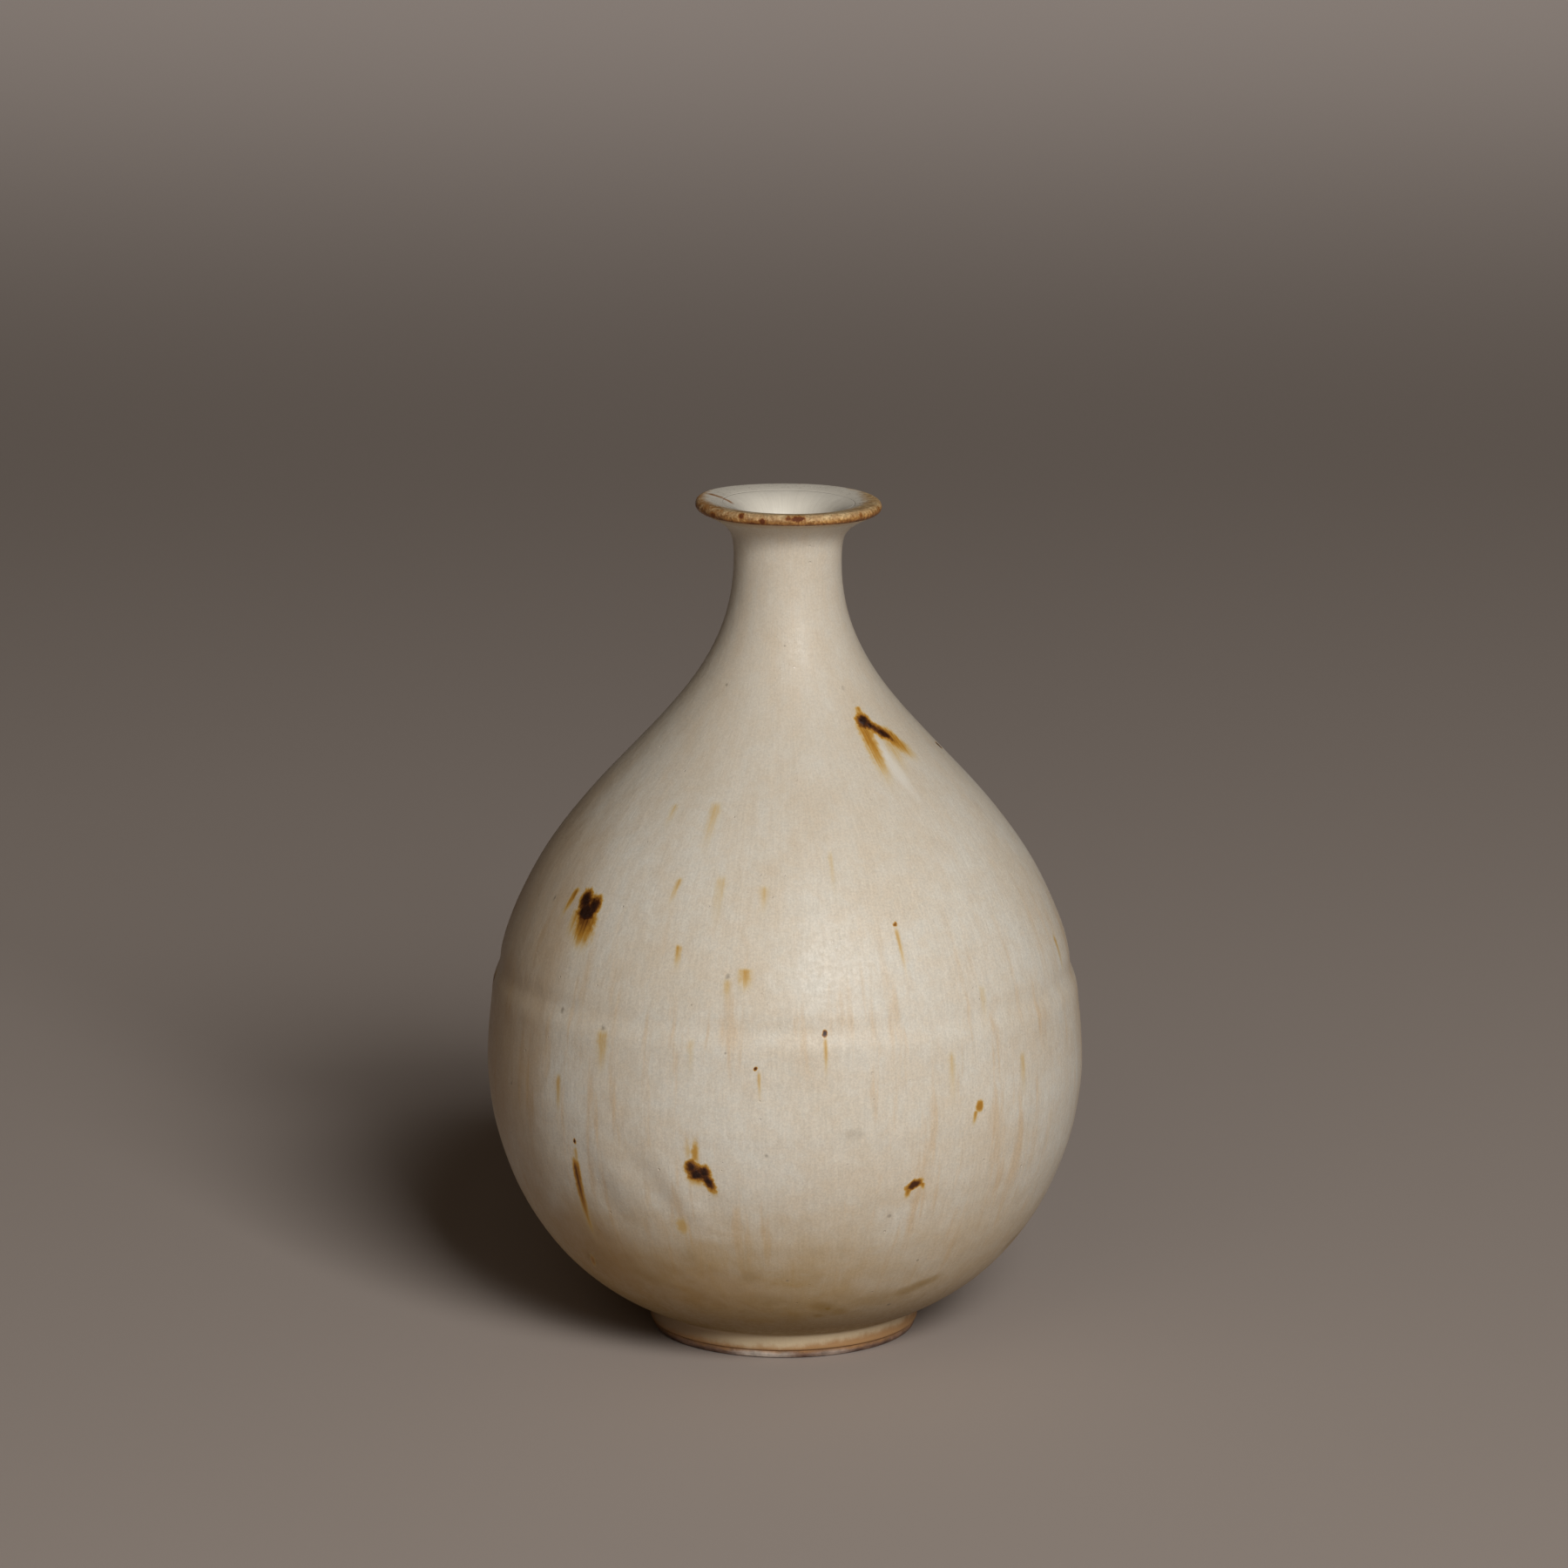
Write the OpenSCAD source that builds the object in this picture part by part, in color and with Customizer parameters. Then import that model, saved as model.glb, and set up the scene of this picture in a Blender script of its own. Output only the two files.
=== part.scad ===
// Stoneware bud vase, about 180 mm high.
// A turned foot ring, a thrown bowl, a thrown shoulder luted to it with slip, a neck and a
// flared lip, with a glaze coat outside, an iron wash over the rim and a glaze lining inside.
// The origin is the middle of the face that the vase stands on, and +Z is up the axis.

/* [Body] */

// Height from the floor to the top of the lip
total_height = 180; // [172:1:190]
// Widest outside radius of the belly
belly_radius = 63.5; // [58:0.5:68]
// Height of the widest point of the belly
belly_height = 59; // [54:1:64]
// Angle above level at which the bowl leaves the foot
bowl_angle = 21; // [15:1:28]
// How far the bowl's curve keeps the angle it leaves the foot at
bowl_spread = 29.5; // [22:0.5:34]
// How far below the belly the bowl's curve stays upright
bowl_drop = 15; // [8:0.5:22]
// How far above the belly the shoulder's curve stays upright
shoulder_rise = 62.6; // [55:0.2:66]
// How far below the waist of the neck the shoulder's curve stays upright
neck_drop = 40.4; // [34:0.2:44]

/* [Neck and lip] */

// Narrowest outside radius of the neck
neck_radius = 11.4; // [11:0.1:12.5]
// Height of the narrowest point of the neck
neck_height = 167; // [164:0.5:169]
// Outside radius of the lip
lip_radius = 19.7; // [18.5:0.1:22]
// Radius of the rounded edge of the lip
lip_edge_radius = 1.2; // [0.9:0.1:1.5]
// Slope of the lip's underside above level
lip_underside_angle = 25; // [15:1:35]
// How far inwards the top of the lip stays nearly level
lip_top_reach = 9.5; // [6:0.5:10]
// How much the top of the lip dips over that reach
lip_dish = 0.5; // [0.2:0.1:1]
// Inside radius of the straight throat
throat_radius = 7.6; // [6.8:0.1:7.8]
// Height of the top of the straight throat
throat_top = 170; // [169:0.5:172]
// Height of the bottom of the straight throat
throat_bottom = 157; // [155:0.5:160]

/* [Foot] */

// Height of the foot ring
foot_height = 5.2; // [4:0.1:7]
// Outside radius of the foot where it meets the bowl
crease_radius = 28.2; // [27:0.1:30]
// Widest outside radius of the foot, just above its rounded edge
foot_radius = 28.6; // [27:0.1:31]
// Radius of the rounded bottom edge of the foot
foot_edge_radius = 1.1; // [0.6:0.1:1.6]
// Width of the level face that the vase stands on
foot_face_width = 5; // [3.5:0.1:6]
// Slope of the inner side of the foot ring from upright
foot_draft = 12; // [4:1:20]
// Height of the line where the glaze ends on the foot
glaze_line = 1.7; // [1.3:0.1:2.5]

/* [Walls and coats] */

// Thickness of the wall with its glaze on both sides
wall = 4.6; // [4:0.1:5.4]
// Thickness of the floor of the bowl with its glaze
floor_thickness = 6; // [5:0.1:8]
// Thickness of each glaze coat
glaze = 0.5; // [0.4:0.05:0.8]
// How far inwards from the outside of the lip the iron wash goes
wash_reach = 5.5; // [4:0.1:7]

/* [Joints] */

// Height of the luted seam between the bowl and the shoulder
seam_height = 80; // [74:1:88]
// Thickness of the slip that fills the seam
slip_thickness = 1.6; // [1:0.1:2.4]
// Depth of the groove along the seam
groove_depth = 0.2; // [0:0.05:0.45]
// Height of the low ridge under the seam
ridge_height = 0.15; // [0:0.05:0.5]
// Height of the joint between the shoulder and the neck
neck_joint = 146; // [140:1:152]
// Height of the joint between the neck and the lip
lip_joint = 172.5; // [171.5:0.5:174]

/* [Quality] */

// Segments of a full turn in the preview
turn_segments = 120; // [48:12:180]

/* [Hidden] */

$fn = turn_segments;

// Which sub-part is drawn

clay_color = "#a8907c";
slip_color = "#b7a08b";
glaze_color = "#d5cab4";
wash_color = "#ae8046";
lining_color = "#e2dac9";

// Segments along each curve of the outline
long_curve_steps = 26;
short_curve_steps = 10;
edge_steps = 12;

edge_center = [lip_radius - lip_edge_radius, total_height - lip_edge_radius];
edge_start_angle = lip_underside_angle - 90;
edge_end_angle = 90;
wash_radius = lip_radius - wash_reach;
slip_bottom = seam_height - slip_thickness / 2;
slip_top = seam_height + slip_thickness / 2;
floor_height = foot_height + floor_thickness;
foot_face_outer = foot_radius - glaze - foot_edge_radius;
foot_face_inner = foot_face_outer - foot_face_width;

// The band of heights, relative to the seam, that its groove and ridge take up
seam_band_low = -7;
seam_band_high = 4;
seam_band_step = 1;
ridge_drop = 3.5;
groove_half_width = 1.1;
ridge_half_width = 1.6;

// A cubic curve that leaves p0 towards p1 and reaches p3 from p2
function bezier(p0, p1, p2, p3, steps) = [
    for (i = [0:steps])
        let (t = i / steps, u = 1 - t)
            u * u * u * p0 + 3 * u * u * t * p1 + 3 * u * t * t * p2 + t * t * t * p3
];

// Points of an arc about a centre
function arc(center, radius, from, to, steps) = [
    for (i = [0:steps])
        let (a = from + (to - from) * i / steps)
            center + radius * [cos(a), sin(a)]
];

function polar(length, angle) = length * [cos(angle), sin(angle)];

function tail(list, from = 1) = [for (i = [from:len(list) - 1]) list[i]];

function reversed(list) = [for (i = [len(list) - 1:-1:0]) list[i]];

// Left-hand unit normal of the step from p to q
function step_normal(p, q) = let (d = q - p) [-d.y, d.x] / norm(d);

// The curve moved sideways to its left by a distance, with its corners kept mitred
function moved_left(curve, distance) = [
    for (i = [0:len(curve) - 1])
        let (
            last = len(curve) - 1,
            before = step_normal(curve[max(i - 1, 0)], curve[max(i, 1)]),
            after = step_normal(curve[min(i, last - 1)], curve[min(i + 1, last)]),
            middle = before + after
        )
            curve[i] + distance * 2 * middle / (middle * middle)
];

// Radius of a rising curve at a height
function radius_at(curve, height) = lookup(height, [for (p = curve) [p.y, p.x]]);

// The stretch of a rising curve between two heights, cut exactly at both
function between(curve, low, high) = concat(
    [[radius_at(curve, low), low]],
    [for (p = curve) if (p.y > low + 0.01 && p.y < high - 0.01) p],
    [[radius_at(curve, high), high]]
);

// How far the surface stands out at a height relative to the seam
function seam_relief(h) =
    ridge_height * exp(-pow((h + ridge_drop) / ridge_half_width, 2))
    - groove_depth * exp(-pow(h / groove_half_width, 2));

// Outside of the belly from the foot to the waist of the neck, before the seam's relief
plain_body = concat(
    bezier([crease_radius, foot_height],
           [crease_radius, foot_height] + polar(bowl_spread, bowl_angle),
           [belly_radius, belly_height - bowl_drop],
           [belly_radius, belly_height], long_curve_steps),
    tail(bezier([belly_radius, belly_height],
                [belly_radius, belly_height + shoulder_rise],
                [neck_radius, neck_height - neck_drop],
                [neck_radius, neck_height], long_curve_steps))
);

seam_band = [
    for (h = [seam_band_low:seam_band_step:seam_band_high])
        [radius_at(plain_body, seam_height + h) + seam_relief(h), seam_height + h]
];

body = concat(
    between(plain_body, foot_height, seam_height + seam_band_low - seam_band_step),
    seam_band,
    between(plain_body, seam_height + seam_band_high + seam_band_step, neck_height)
);

// Underside of the lip, from the waist of the neck to the rounded edge
collar_end = edge_center + polar(lip_edge_radius, edge_start_angle);
collar = bezier([neck_radius, neck_height],
                [neck_radius, neck_height + 0.6 * (collar_end.y - neck_height)],
                collar_end - polar(collar_end.x - neck_radius, lip_underside_angle),
                collar_end, short_curve_steps);

lip_edge = arc(edge_center, lip_edge_radius, edge_start_angle, edge_end_angle, edge_steps);

// Top of the lip and the funnel down to the straight throat
lip_top_start = lip_edge[edge_steps];
funnel = bezier(lip_top_start,
                lip_top_start - [lip_top_reach, lip_dish],
                [throat_radius, throat_top + 0.55 * (total_height - throat_top)],
                [throat_radius, throat_top], long_curve_steps);

rim_top = [for (p = funnel) if (p.x > wash_radius) p];
mouth = [for (p = funnel) if (p.x <= wash_radius) p];

foot_side = [[foot_radius, glaze_line + glaze], [crease_radius, foot_height]];

// The glazed outside from the foot to the end of the wash on the top of the lip
skin_to_lip = concat(foot_side, tail(body), tail(collar));
skin_rim = concat(tail(lip_edge), tail(rim_top));

// The glazed inside as a rising curve, from the floor to the mouth
wall_inside = moved_left(plain_body, wall);
cavity_top = throat_bottom - 2;
cavity = concat(
    [[0, floor_height]],
    between(wall_inside, floor_height, cavity_top),
    [[throat_radius, throat_bottom], [throat_radius, throat_top]]
);

// The clay surface under all the coats is the same outline moved in by the glaze
skin = concat(skin_to_lip, skin_rim, mouth, tail(reversed(cavity)));
clay = moved_left(skin, glaze);
lip_count = len(skin_to_lip);
rim_count = len(skin_rim);
clay_to_lip = [for (i = [0:lip_count - 1]) clay[i]];
clay_rim = [for (i = [lip_count - 1:lip_count + rim_count - 1]) clay[i]];
clay_inside = reversed([for (i = [lip_count + rim_count - 1:len(clay) - 1]) clay[i]]);
coat_rim = [for (i = [lip_count - 1:lip_count + rim_count - 1]) skin[i]];
coat_inside = reversed([for (i = [lip_count + rim_count - 1:len(skin) - 1]) skin[i]]);

// The clay wall inside as a rising curve that starts where it meets the floor
clay_wall_inside = tail(clay_inside);
clay_floor = clay_wall_inside[0].y;

// A ring of the clay wall between two level joints
module wall_section(low, high) {
    rotate_extrude()
        polygon(concat(between(clay_to_lip, low, high), reversed(between(clay_wall_inside, low, high))));
}

module foot_ring() {
    edge = arc([foot_face_outer, foot_edge_radius], foot_edge_radius, -90, 0, edge_steps);
    seat_radius = radius_at(clay_to_lip, foot_height);
    color(clay_color)
        rotate_extrude()
            polygon(concat(
                edge,
                [[foot_radius - glaze, glaze_line],
                 clay_to_lip[0],
                 [seat_radius, foot_height],
                 [foot_face_inner - foot_height * tan(foot_draft), foot_height],
                 [foot_face_inner, 0]]
            ));
}

module lower_bowl() {
    outside = between(clay_to_lip, foot_height, slip_bottom);
    inside = between(clay_wall_inside, clay_floor, slip_bottom);
    color(clay_color)
        rotate_extrude()
            polygon(concat([[0, foot_height]], outside, reversed(inside), [[0, clay_floor]]));
}

module seam_slip() {
    color(slip_color) wall_section(slip_bottom, slip_top);
}

module shoulder() {
    color(clay_color) wall_section(slip_top, neck_joint);
}

module neck() {
    color(clay_color) wall_section(neck_joint, lip_joint);
}

module lip() {
    outside = between(clay_to_lip, lip_joint, clay_to_lip[lip_count - 1].y);
    inside = between(clay_wall_inside, lip_joint, clay_inside[len(clay_inside) - 1].y);
    color(clay_color)
        rotate_extrude()
            polygon(concat(outside, tail(clay_rim), tail(reversed(inside))));
}

module outer_glaze() {
    color(glaze_color)
        rotate_extrude()
            polygon(concat([[foot_radius - glaze, glaze_line]], skin_to_lip, reversed(clay_to_lip)));
}

module rim_wash() {
    color(wash_color)
        rotate_extrude()
            polygon(concat(coat_rim, reversed(clay_rim)));
}

module inner_glaze() {
    color(lining_color)
        rotate_extrude()
            polygon(concat(coat_inside, reversed(clay_inside)));
}

foot_ring();
lower_bowl();
seam_slip();
shoulder();
neck();
lip();
outer_glaze();
rim_wash();
inner_glaze();
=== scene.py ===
"""The look of a wheel-thrown stoneware bud vase.

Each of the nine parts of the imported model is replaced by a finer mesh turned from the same
outline, with the small unevenness of a hand-thrown pot and its own fired surface. Outlines
and places on the pot are in millimetres, and meshes are in metres. A place around the pot
is a turn in degrees from the front (-Y), positive towards +X.
"""

from math import pi, radians, tan
from typing import NamedTuple

import bpy
import numpy as np
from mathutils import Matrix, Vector


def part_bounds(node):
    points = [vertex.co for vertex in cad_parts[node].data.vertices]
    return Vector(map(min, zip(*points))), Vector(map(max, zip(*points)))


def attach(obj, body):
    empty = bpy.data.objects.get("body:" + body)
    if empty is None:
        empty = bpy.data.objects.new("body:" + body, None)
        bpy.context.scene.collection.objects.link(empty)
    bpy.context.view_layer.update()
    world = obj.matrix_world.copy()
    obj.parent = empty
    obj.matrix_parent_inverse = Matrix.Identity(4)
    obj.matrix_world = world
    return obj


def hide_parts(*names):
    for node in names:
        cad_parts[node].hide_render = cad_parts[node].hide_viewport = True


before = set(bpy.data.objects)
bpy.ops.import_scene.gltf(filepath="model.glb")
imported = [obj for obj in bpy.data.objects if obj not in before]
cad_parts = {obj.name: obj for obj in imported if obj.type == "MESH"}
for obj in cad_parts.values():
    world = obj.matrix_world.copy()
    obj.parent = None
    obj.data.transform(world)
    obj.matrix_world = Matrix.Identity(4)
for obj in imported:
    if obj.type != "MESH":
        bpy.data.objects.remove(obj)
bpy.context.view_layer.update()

MM = 0.001


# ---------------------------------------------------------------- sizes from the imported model

def part_box(node):
    """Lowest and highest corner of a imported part, in millimetres."""
    low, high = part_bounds(node)
    return np.round(np.array(low) / MM, 2), np.round(np.array(high) / MM, 2)


_, FOOT_HIGH = part_box("foot_ring")
_, BOWL_HIGH = part_box("lower_bowl")
SLIP_LOW, SLIP_HIGH = part_box("seam_slip")
NECK_LOW, NECK_HIGH = part_box("neck")
COAT_LOW, COAT_HIGH = part_box("outer_glaze")
_, WASH_HIGH = part_box("rim_wash")
LINING_LOW, _ = part_box("inner_glaze")

TOTAL_HEIGHT = WASH_HIGH[2]
BELLY_RADIUS = COAT_HIGH[0]
LIP_RADIUS = WASH_HIGH[0]
GLAZE = BELLY_RADIUS - BOWL_HIGH[0]
GLAZE_LINE = COAT_LOW[2]
FOOT_HEIGHT = FOOT_HIGH[2]
FOOT_RADIUS = FOOT_HIGH[0] + GLAZE
CLAY_FLOOR = LINING_LOW[2]
FLOOR_HEIGHT = CLAY_FLOOR + GLAZE
SLIP_BOTTOM, SLIP_TOP = SLIP_LOW[2], SLIP_HIGH[2]
SEAM_HEIGHT = (SLIP_BOTTOM + SLIP_TOP) / 2
NECK_JOINT, LIP_JOINT = NECK_LOW[2], NECK_HIGH[2]

# How the outline bends between those sizes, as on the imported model
BELLY_HEIGHT = 59
BOWL_ANGLE = 21
BOWL_SPREAD = 29.5
BOWL_DROP = 15
SHOULDER_RISE = 62.6
NECK_DROP = 40.4
NECK_RADIUS = 11.4
NECK_HEIGHT = 167
LIP_EDGE_RADIUS = 1.2
LIP_UNDERSIDE_ANGLE = 25
LIP_TOP_REACH = 9.5
LIP_DISH = 0.5
THROAT_RADIUS = 7.6
THROAT_TOP = 170
THROAT_BOTTOM = 157
CREASE_RADIUS = 28.2
FOOT_EDGE_RADIUS = 1.1
FOOT_FACE_WIDTH = 5
FOOT_DRAFT = 12
WALL = 4.6
WASH_REACH = 5.5
COLLAR_RISE = 0.6
FUNNEL_RISE = 0.55
FOOT_ARRIS = 0.4
THROAT_EASE = 2

# The luted seam: a soft groove with a low ridge under it
GROOVE_DEPTH = 0.3
GROOVE_HALF_WIDTH = 1.6
RIDGE_HEIGHT = 0.25
RIDGE_HALF_WIDTH = 2.2
RIDGE_DROP = 4

# Fineness of the visible meshes
COLUMNS = 300
LONG_STEPS = 100
SHORT_STEPS = 40
EDGE_STEPS = 24
HIDDEN_SPACING = 4
FOOT_SPACING = 0.5
NEAR = 0.01


# ------------------------------------------------------------------------------ the outline

def bezier(p0, p1, p2, p3, steps):
    """A cubic curve that leaves p0 towards p1 and reaches p3 from p2."""
    t = np.linspace(0, 1, steps + 1)[:, None]
    u = 1 - t
    p0, p1, p2, p3 = (np.array(p, float) for p in (p0, p1, p2, p3))
    return u**3 * p0 + 3 * u**2 * t * p1 + 3 * u * t**2 * p2 + t**3 * p3


def polar(length, angle):
    """A step of a length at an angle in degrees."""
    return length * np.array([np.cos(radians(angle)), np.sin(radians(angle))])


def arc(center, radius, start, end, steps):
    """Points of an arc between two angles in degrees."""
    angle = np.radians(np.linspace(start, end, steps + 1))
    return np.array(center) + radius * np.column_stack([np.cos(angle), np.sin(angle)])


def moved_left(curve, distance):
    """The curve moved sideways to its left, with its corners kept mitred."""
    step = np.diff(curve, axis=0)
    normal = np.column_stack([-step[:, 1], step[:, 0]])
    normal /= np.linalg.norm(normal, axis=1)[:, None]
    middle = np.vstack([normal[:1], normal]) + np.vstack([normal, normal[-1:]])
    return curve + distance * 2 * middle / (middle * middle).sum(axis=1)[:, None]


def radius_at(curve, height):
    """Radius of a rising curve at a height."""
    return np.interp(height, curve[:, 1], curve[:, 0])


def between(curve, low, high):
    """The stretch of a rising curve between two heights."""
    inside = curve[(curve[:, 1] > low + NEAR) & (curve[:, 1] < high - NEAR)]
    first = [[radius_at(curve, low), low]]
    last = [[radius_at(curve, high), high]]
    return np.vstack([first, inside, last])


def joined(*curves):
    """Curves laid end to end, each without its first point after the first."""
    return np.vstack([curves[0]] + [curve[1:] for curve in curves[1:]])


def thinned(curve, spacing):
    """The curve with points no closer than a spacing, and its two ends."""
    kept = [curve[0]]
    for point in curve[1:-1]:
        if np.linalg.norm(point - kept[-1]) >= spacing:
            kept.append(point)
    return np.vstack(kept + [curve[-1]])


def divided(curve, spacing):
    """The curve with points added wherever two lie further apart than a spacing."""
    pieces = [curve[:1]]
    for start, end in zip(curve[:-1], curve[1:]):
        count = max(1, int(np.ceil(np.linalg.norm(end - start) / spacing)))
        pieces.append(start + (end - start) * (np.arange(1, count + 1) / count)[:, None])
    return np.vstack(pieces)


def seam_relief(height):
    """How far the wall stands out at a height because of the luted seam."""
    ridge = (height - SEAM_HEIGHT + RIDGE_DROP) / RIDGE_HALF_WIDTH
    groove = (height - SEAM_HEIGHT) / GROOVE_HALF_WIDTH
    return RIDGE_HEIGHT * np.exp(-ridge**2) - GROOVE_DEPTH * np.exp(-groove**2)


def body_curve():
    """Outside of the belly from the foot to the waist of the neck."""
    crease = np.array([CREASE_RADIUS, FOOT_HEIGHT])
    bowl = bezier(crease, crease + polar(BOWL_SPREAD, BOWL_ANGLE),
                  [BELLY_RADIUS, BELLY_HEIGHT - BOWL_DROP],
                  [BELLY_RADIUS, BELLY_HEIGHT], LONG_STEPS)
    shoulder = bezier([BELLY_RADIUS, BELLY_HEIGHT],
                      [BELLY_RADIUS, BELLY_HEIGHT + SHOULDER_RISE],
                      [NECK_RADIUS, NECK_HEIGHT - NECK_DROP],
                      [NECK_RADIUS, NECK_HEIGHT], LONG_STEPS)
    return joined(bowl, shoulder)


EDGE_CENTER = np.array([LIP_RADIUS - LIP_EDGE_RADIUS, TOTAL_HEIGHT - LIP_EDGE_RADIUS])
EDGE_START = LIP_UNDERSIDE_ANGLE - 90

plain_body = body_curve()
body = plain_body.copy()
body[:, 0] += seam_relief(body[:, 1])
collar_end = EDGE_CENTER + polar(LIP_EDGE_RADIUS, EDGE_START)
collar = bezier([NECK_RADIUS, NECK_HEIGHT],
                [NECK_RADIUS, NECK_HEIGHT + COLLAR_RISE * (collar_end[1] - NECK_HEIGHT)],
                collar_end - polar(collar_end[0] - NECK_RADIUS, LIP_UNDERSIDE_ANGLE),
                collar_end, SHORT_STEPS)
lip_edge = arc(EDGE_CENTER, LIP_EDGE_RADIUS, EDGE_START, 90, EDGE_STEPS)
funnel = bezier(lip_edge[-1], lip_edge[-1] - [LIP_TOP_REACH, LIP_DISH],
                [THROAT_RADIUS, THROAT_TOP + FUNNEL_RISE * (TOTAL_HEIGHT - THROAT_TOP)],
                [THROAT_RADIUS, THROAT_TOP], SHORT_STEPS * 2)
wash_end = int(np.argmin(funnel[:, 0] > LIP_RADIUS - WASH_REACH))
foot_side = np.array([[FOOT_RADIUS, GLAZE_LINE + GLAZE], [CREASE_RADIUS, FOOT_HEIGHT]])

# The inside of the wall, rising from the floor to the straight throat
wall_inside = between(moved_left(plain_body, WALL), FLOOR_HEIGHT,
                      THROAT_BOTTOM - THROAT_EASE)
wall_inside = thinned(wall_inside, HIDDEN_SPACING)
throat = np.array([[THROAT_RADIUS, THROAT_BOTTOM], [THROAT_RADIUS, THROAT_TOP]])
cavity = np.vstack([[[0, FLOOR_HEIGHT]], wall_inside, throat])

# One outline runs along all the glazed surface, from the foot over the lip to the floor
skin_outside = joined(divided(foot_side, FOOT_SPACING), body, collar)
skin_rim = joined(lip_edge, funnel[:wash_end + 1])
skin_inside = joined(funnel[wash_end:], divided(cavity, HIDDEN_SPACING)[::-1])
skin = joined(skin_outside, skin_rim, skin_inside)
clay = moved_left(skin, GLAZE)
first_rim = len(skin_outside) - 1
first_inside = first_rim + len(skin_rim) - 1
clay_outside = clay[:first_rim + 1]
clay_rim = clay[first_rim:first_inside + 1]
clay_inside = clay[first_inside:][::-1]
clay_wall_inside = clay_inside[clay_inside[:, 0] > THROAT_RADIUS]
clay_wall_inside = clay_wall_inside[np.argmax(clay_wall_inside[:, 0] > CREASE_RADIUS):]


def clay_outside_at(height):
    """Point of the clay's outside at a height."""
    return [radius_at(clay_outside, height), height]


def wall_section(low, high):
    """Closed outline of a ring of the clay wall between two level joints."""
    outside = thinned(between(clay_outside, low, high), HIDDEN_SPACING)
    inside = thinned(between(clay_wall_inside, low, high), HIDDEN_SPACING)
    return np.vstack([outside, inside[::-1]])


def foot_outline():
    """Closed outline of the foot ring, with its arrises worn a little round."""
    face_outer = FOOT_RADIUS - GLAZE - FOOT_EDGE_RADIUS
    face_inner = face_outer - FOOT_FACE_WIDTH
    edge = arc([face_outer, FOOT_EDGE_RADIUS], FOOT_EDGE_RADIUS, -90, 0, EDGE_STEPS)
    seat = clay_outside_at(FOOT_HEIGHT)
    side = np.array([edge[-1], [FOOT_RADIUS - GLAZE, GLAZE_LINE], clay_outside[0], seat])
    slope = tan(radians(FOOT_DRAFT))
    inner_low = arc([face_inner + FOOT_ARRIS, FOOT_ARRIS], FOOT_ARRIS, 180, 270, EDGE_STEPS // 3)
    inner_top = [face_inner - FOOT_HEIGHT * slope, FOOT_HEIGHT]
    inner = divided(np.array([inner_top, inner_low[0]]), FOOT_SPACING)
    face = divided(np.array([inner_low[-1], edge[0]]), FOOT_SPACING)
    return np.vstack([edge[:-1], side, inner, inner_low[1:-1], face[:-1]])


def bowl_outline():
    """Open outline of the bowl, from the middle of its underside to the middle of its floor."""
    under = divided(np.array([[0, FOOT_HEIGHT], clay_outside_at(FOOT_HEIGHT)]), FOOT_SPACING)
    outside = thinned(between(clay_outside, FOOT_HEIGHT, SLIP_BOTTOM), HIDDEN_SPACING)
    inside = thinned(between(clay_wall_inside, CLAY_FLOOR, SLIP_BOTTOM), HIDDEN_SPACING)
    return np.vstack([under[:-1], outside, inside[::-1], [[0, CLAY_FLOOR]]])


def lip_outline():
    """Closed outline of the clay lip."""
    outside = between(clay_outside, LIP_JOINT, clay_outside[-1][1])
    inside = between(clay_wall_inside, LIP_JOINT, clay_wall_inside[-1][1])
    return np.vstack([outside, clay_rim[1:-1], inside[::-1]])


def coat_outline(face, backing):
    """Closed outline of a glaze coat: its fine face and its coarser back."""
    return np.vstack([face, thinned(backing[::-1], HIDDEN_SPACING)])


# ------------------------------------------------------------- the unevenness of the throwing

class Press(NamedTuple):
    """A soft ridge or hollow left by a hand on the wet wall."""
    turn: float
    height: float
    half_length: float
    half_width: float
    slant: float
    push: float


# Ridges (out) and hollows (in) low on the left, where the pot was held for glazing, and
# a few broad dents elsewhere
PRESSES = [
    Press(-21.5, 47, 11, 3.6, 32, 0.28),
    Press(-25.5, 45, 8, 2.8, 38, -0.26),
    Press(-15.0, 44, 7, 3.0, 28, -0.22),
    Press(-33.5, 46, 11, 4.0, 36, 0.18),
    Press(-39.0, 43, 9, 3.0, 30, -0.18),
    Press(-8, 36, 9, 4, 30, 0.1),
    Press(96, 70, 16, 8, 20, -0.3),
    Press(140, 52, 13, 4, -30, 0.24),
    Press(147, 50, 11, 3.4, -30, -0.2),
    Press(156, 51, 12, 4, -32, 0.2),
    Press(-120, 92, 18, 9, 10, -0.25),
    Press(-160, 44, 14, 7, 25, 0.2),
]

# The whole pot leans, its lip tilts, and its plan is a little oval and three-lobed
LEAN = 0.9
LIP_TILT = 0.015
LIP_NOD = 0.008
OVAL = 0.2
OVAL_TURN = 35
LOBES = 0.12
LOBE_TURN = -20
LOBE_MIDDLE = 60
LOBE_REACH = 40

# Throwing rings wind up the wall, over a slow swell
RING_PITCH = 6.3
RING_DEPTH = 0.014
RING_UNEVEN = 0.6
SWELL_DEPTH = 0.035
SWELL_SHARE = 0.43
WALL_MIDDLE = 72
WALL_REACH = 62

# A knuckle's ridge and hollow on each side above the seam
KNUCKLE_DEPTH = 0.11
KNUCKLE_HEIGHT = 86
KNUCKLE_HALF_WIDTH = 3.5
KNUCKLE_DROP = 7
KNUCKLE_TURN = 88
KNUCKLE_REACH = 28

# The foot stays true up to CALM_HEIGHT, and the lip's own waves start above LIP_START
CALM_HEIGHT = 5
CALM_FADE = 8
LIP_START = 150
LIP_FADE = 25
LIP_REACH = 5
LIP_WAVE = 0.1
LIP_RIPPLE = 0.07
LIP_LIFT = 0.08


def bell(value, center, half_width):
    """A smooth bump of height 1."""
    return np.exp(-((value - center) / half_width) ** 2)


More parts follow.
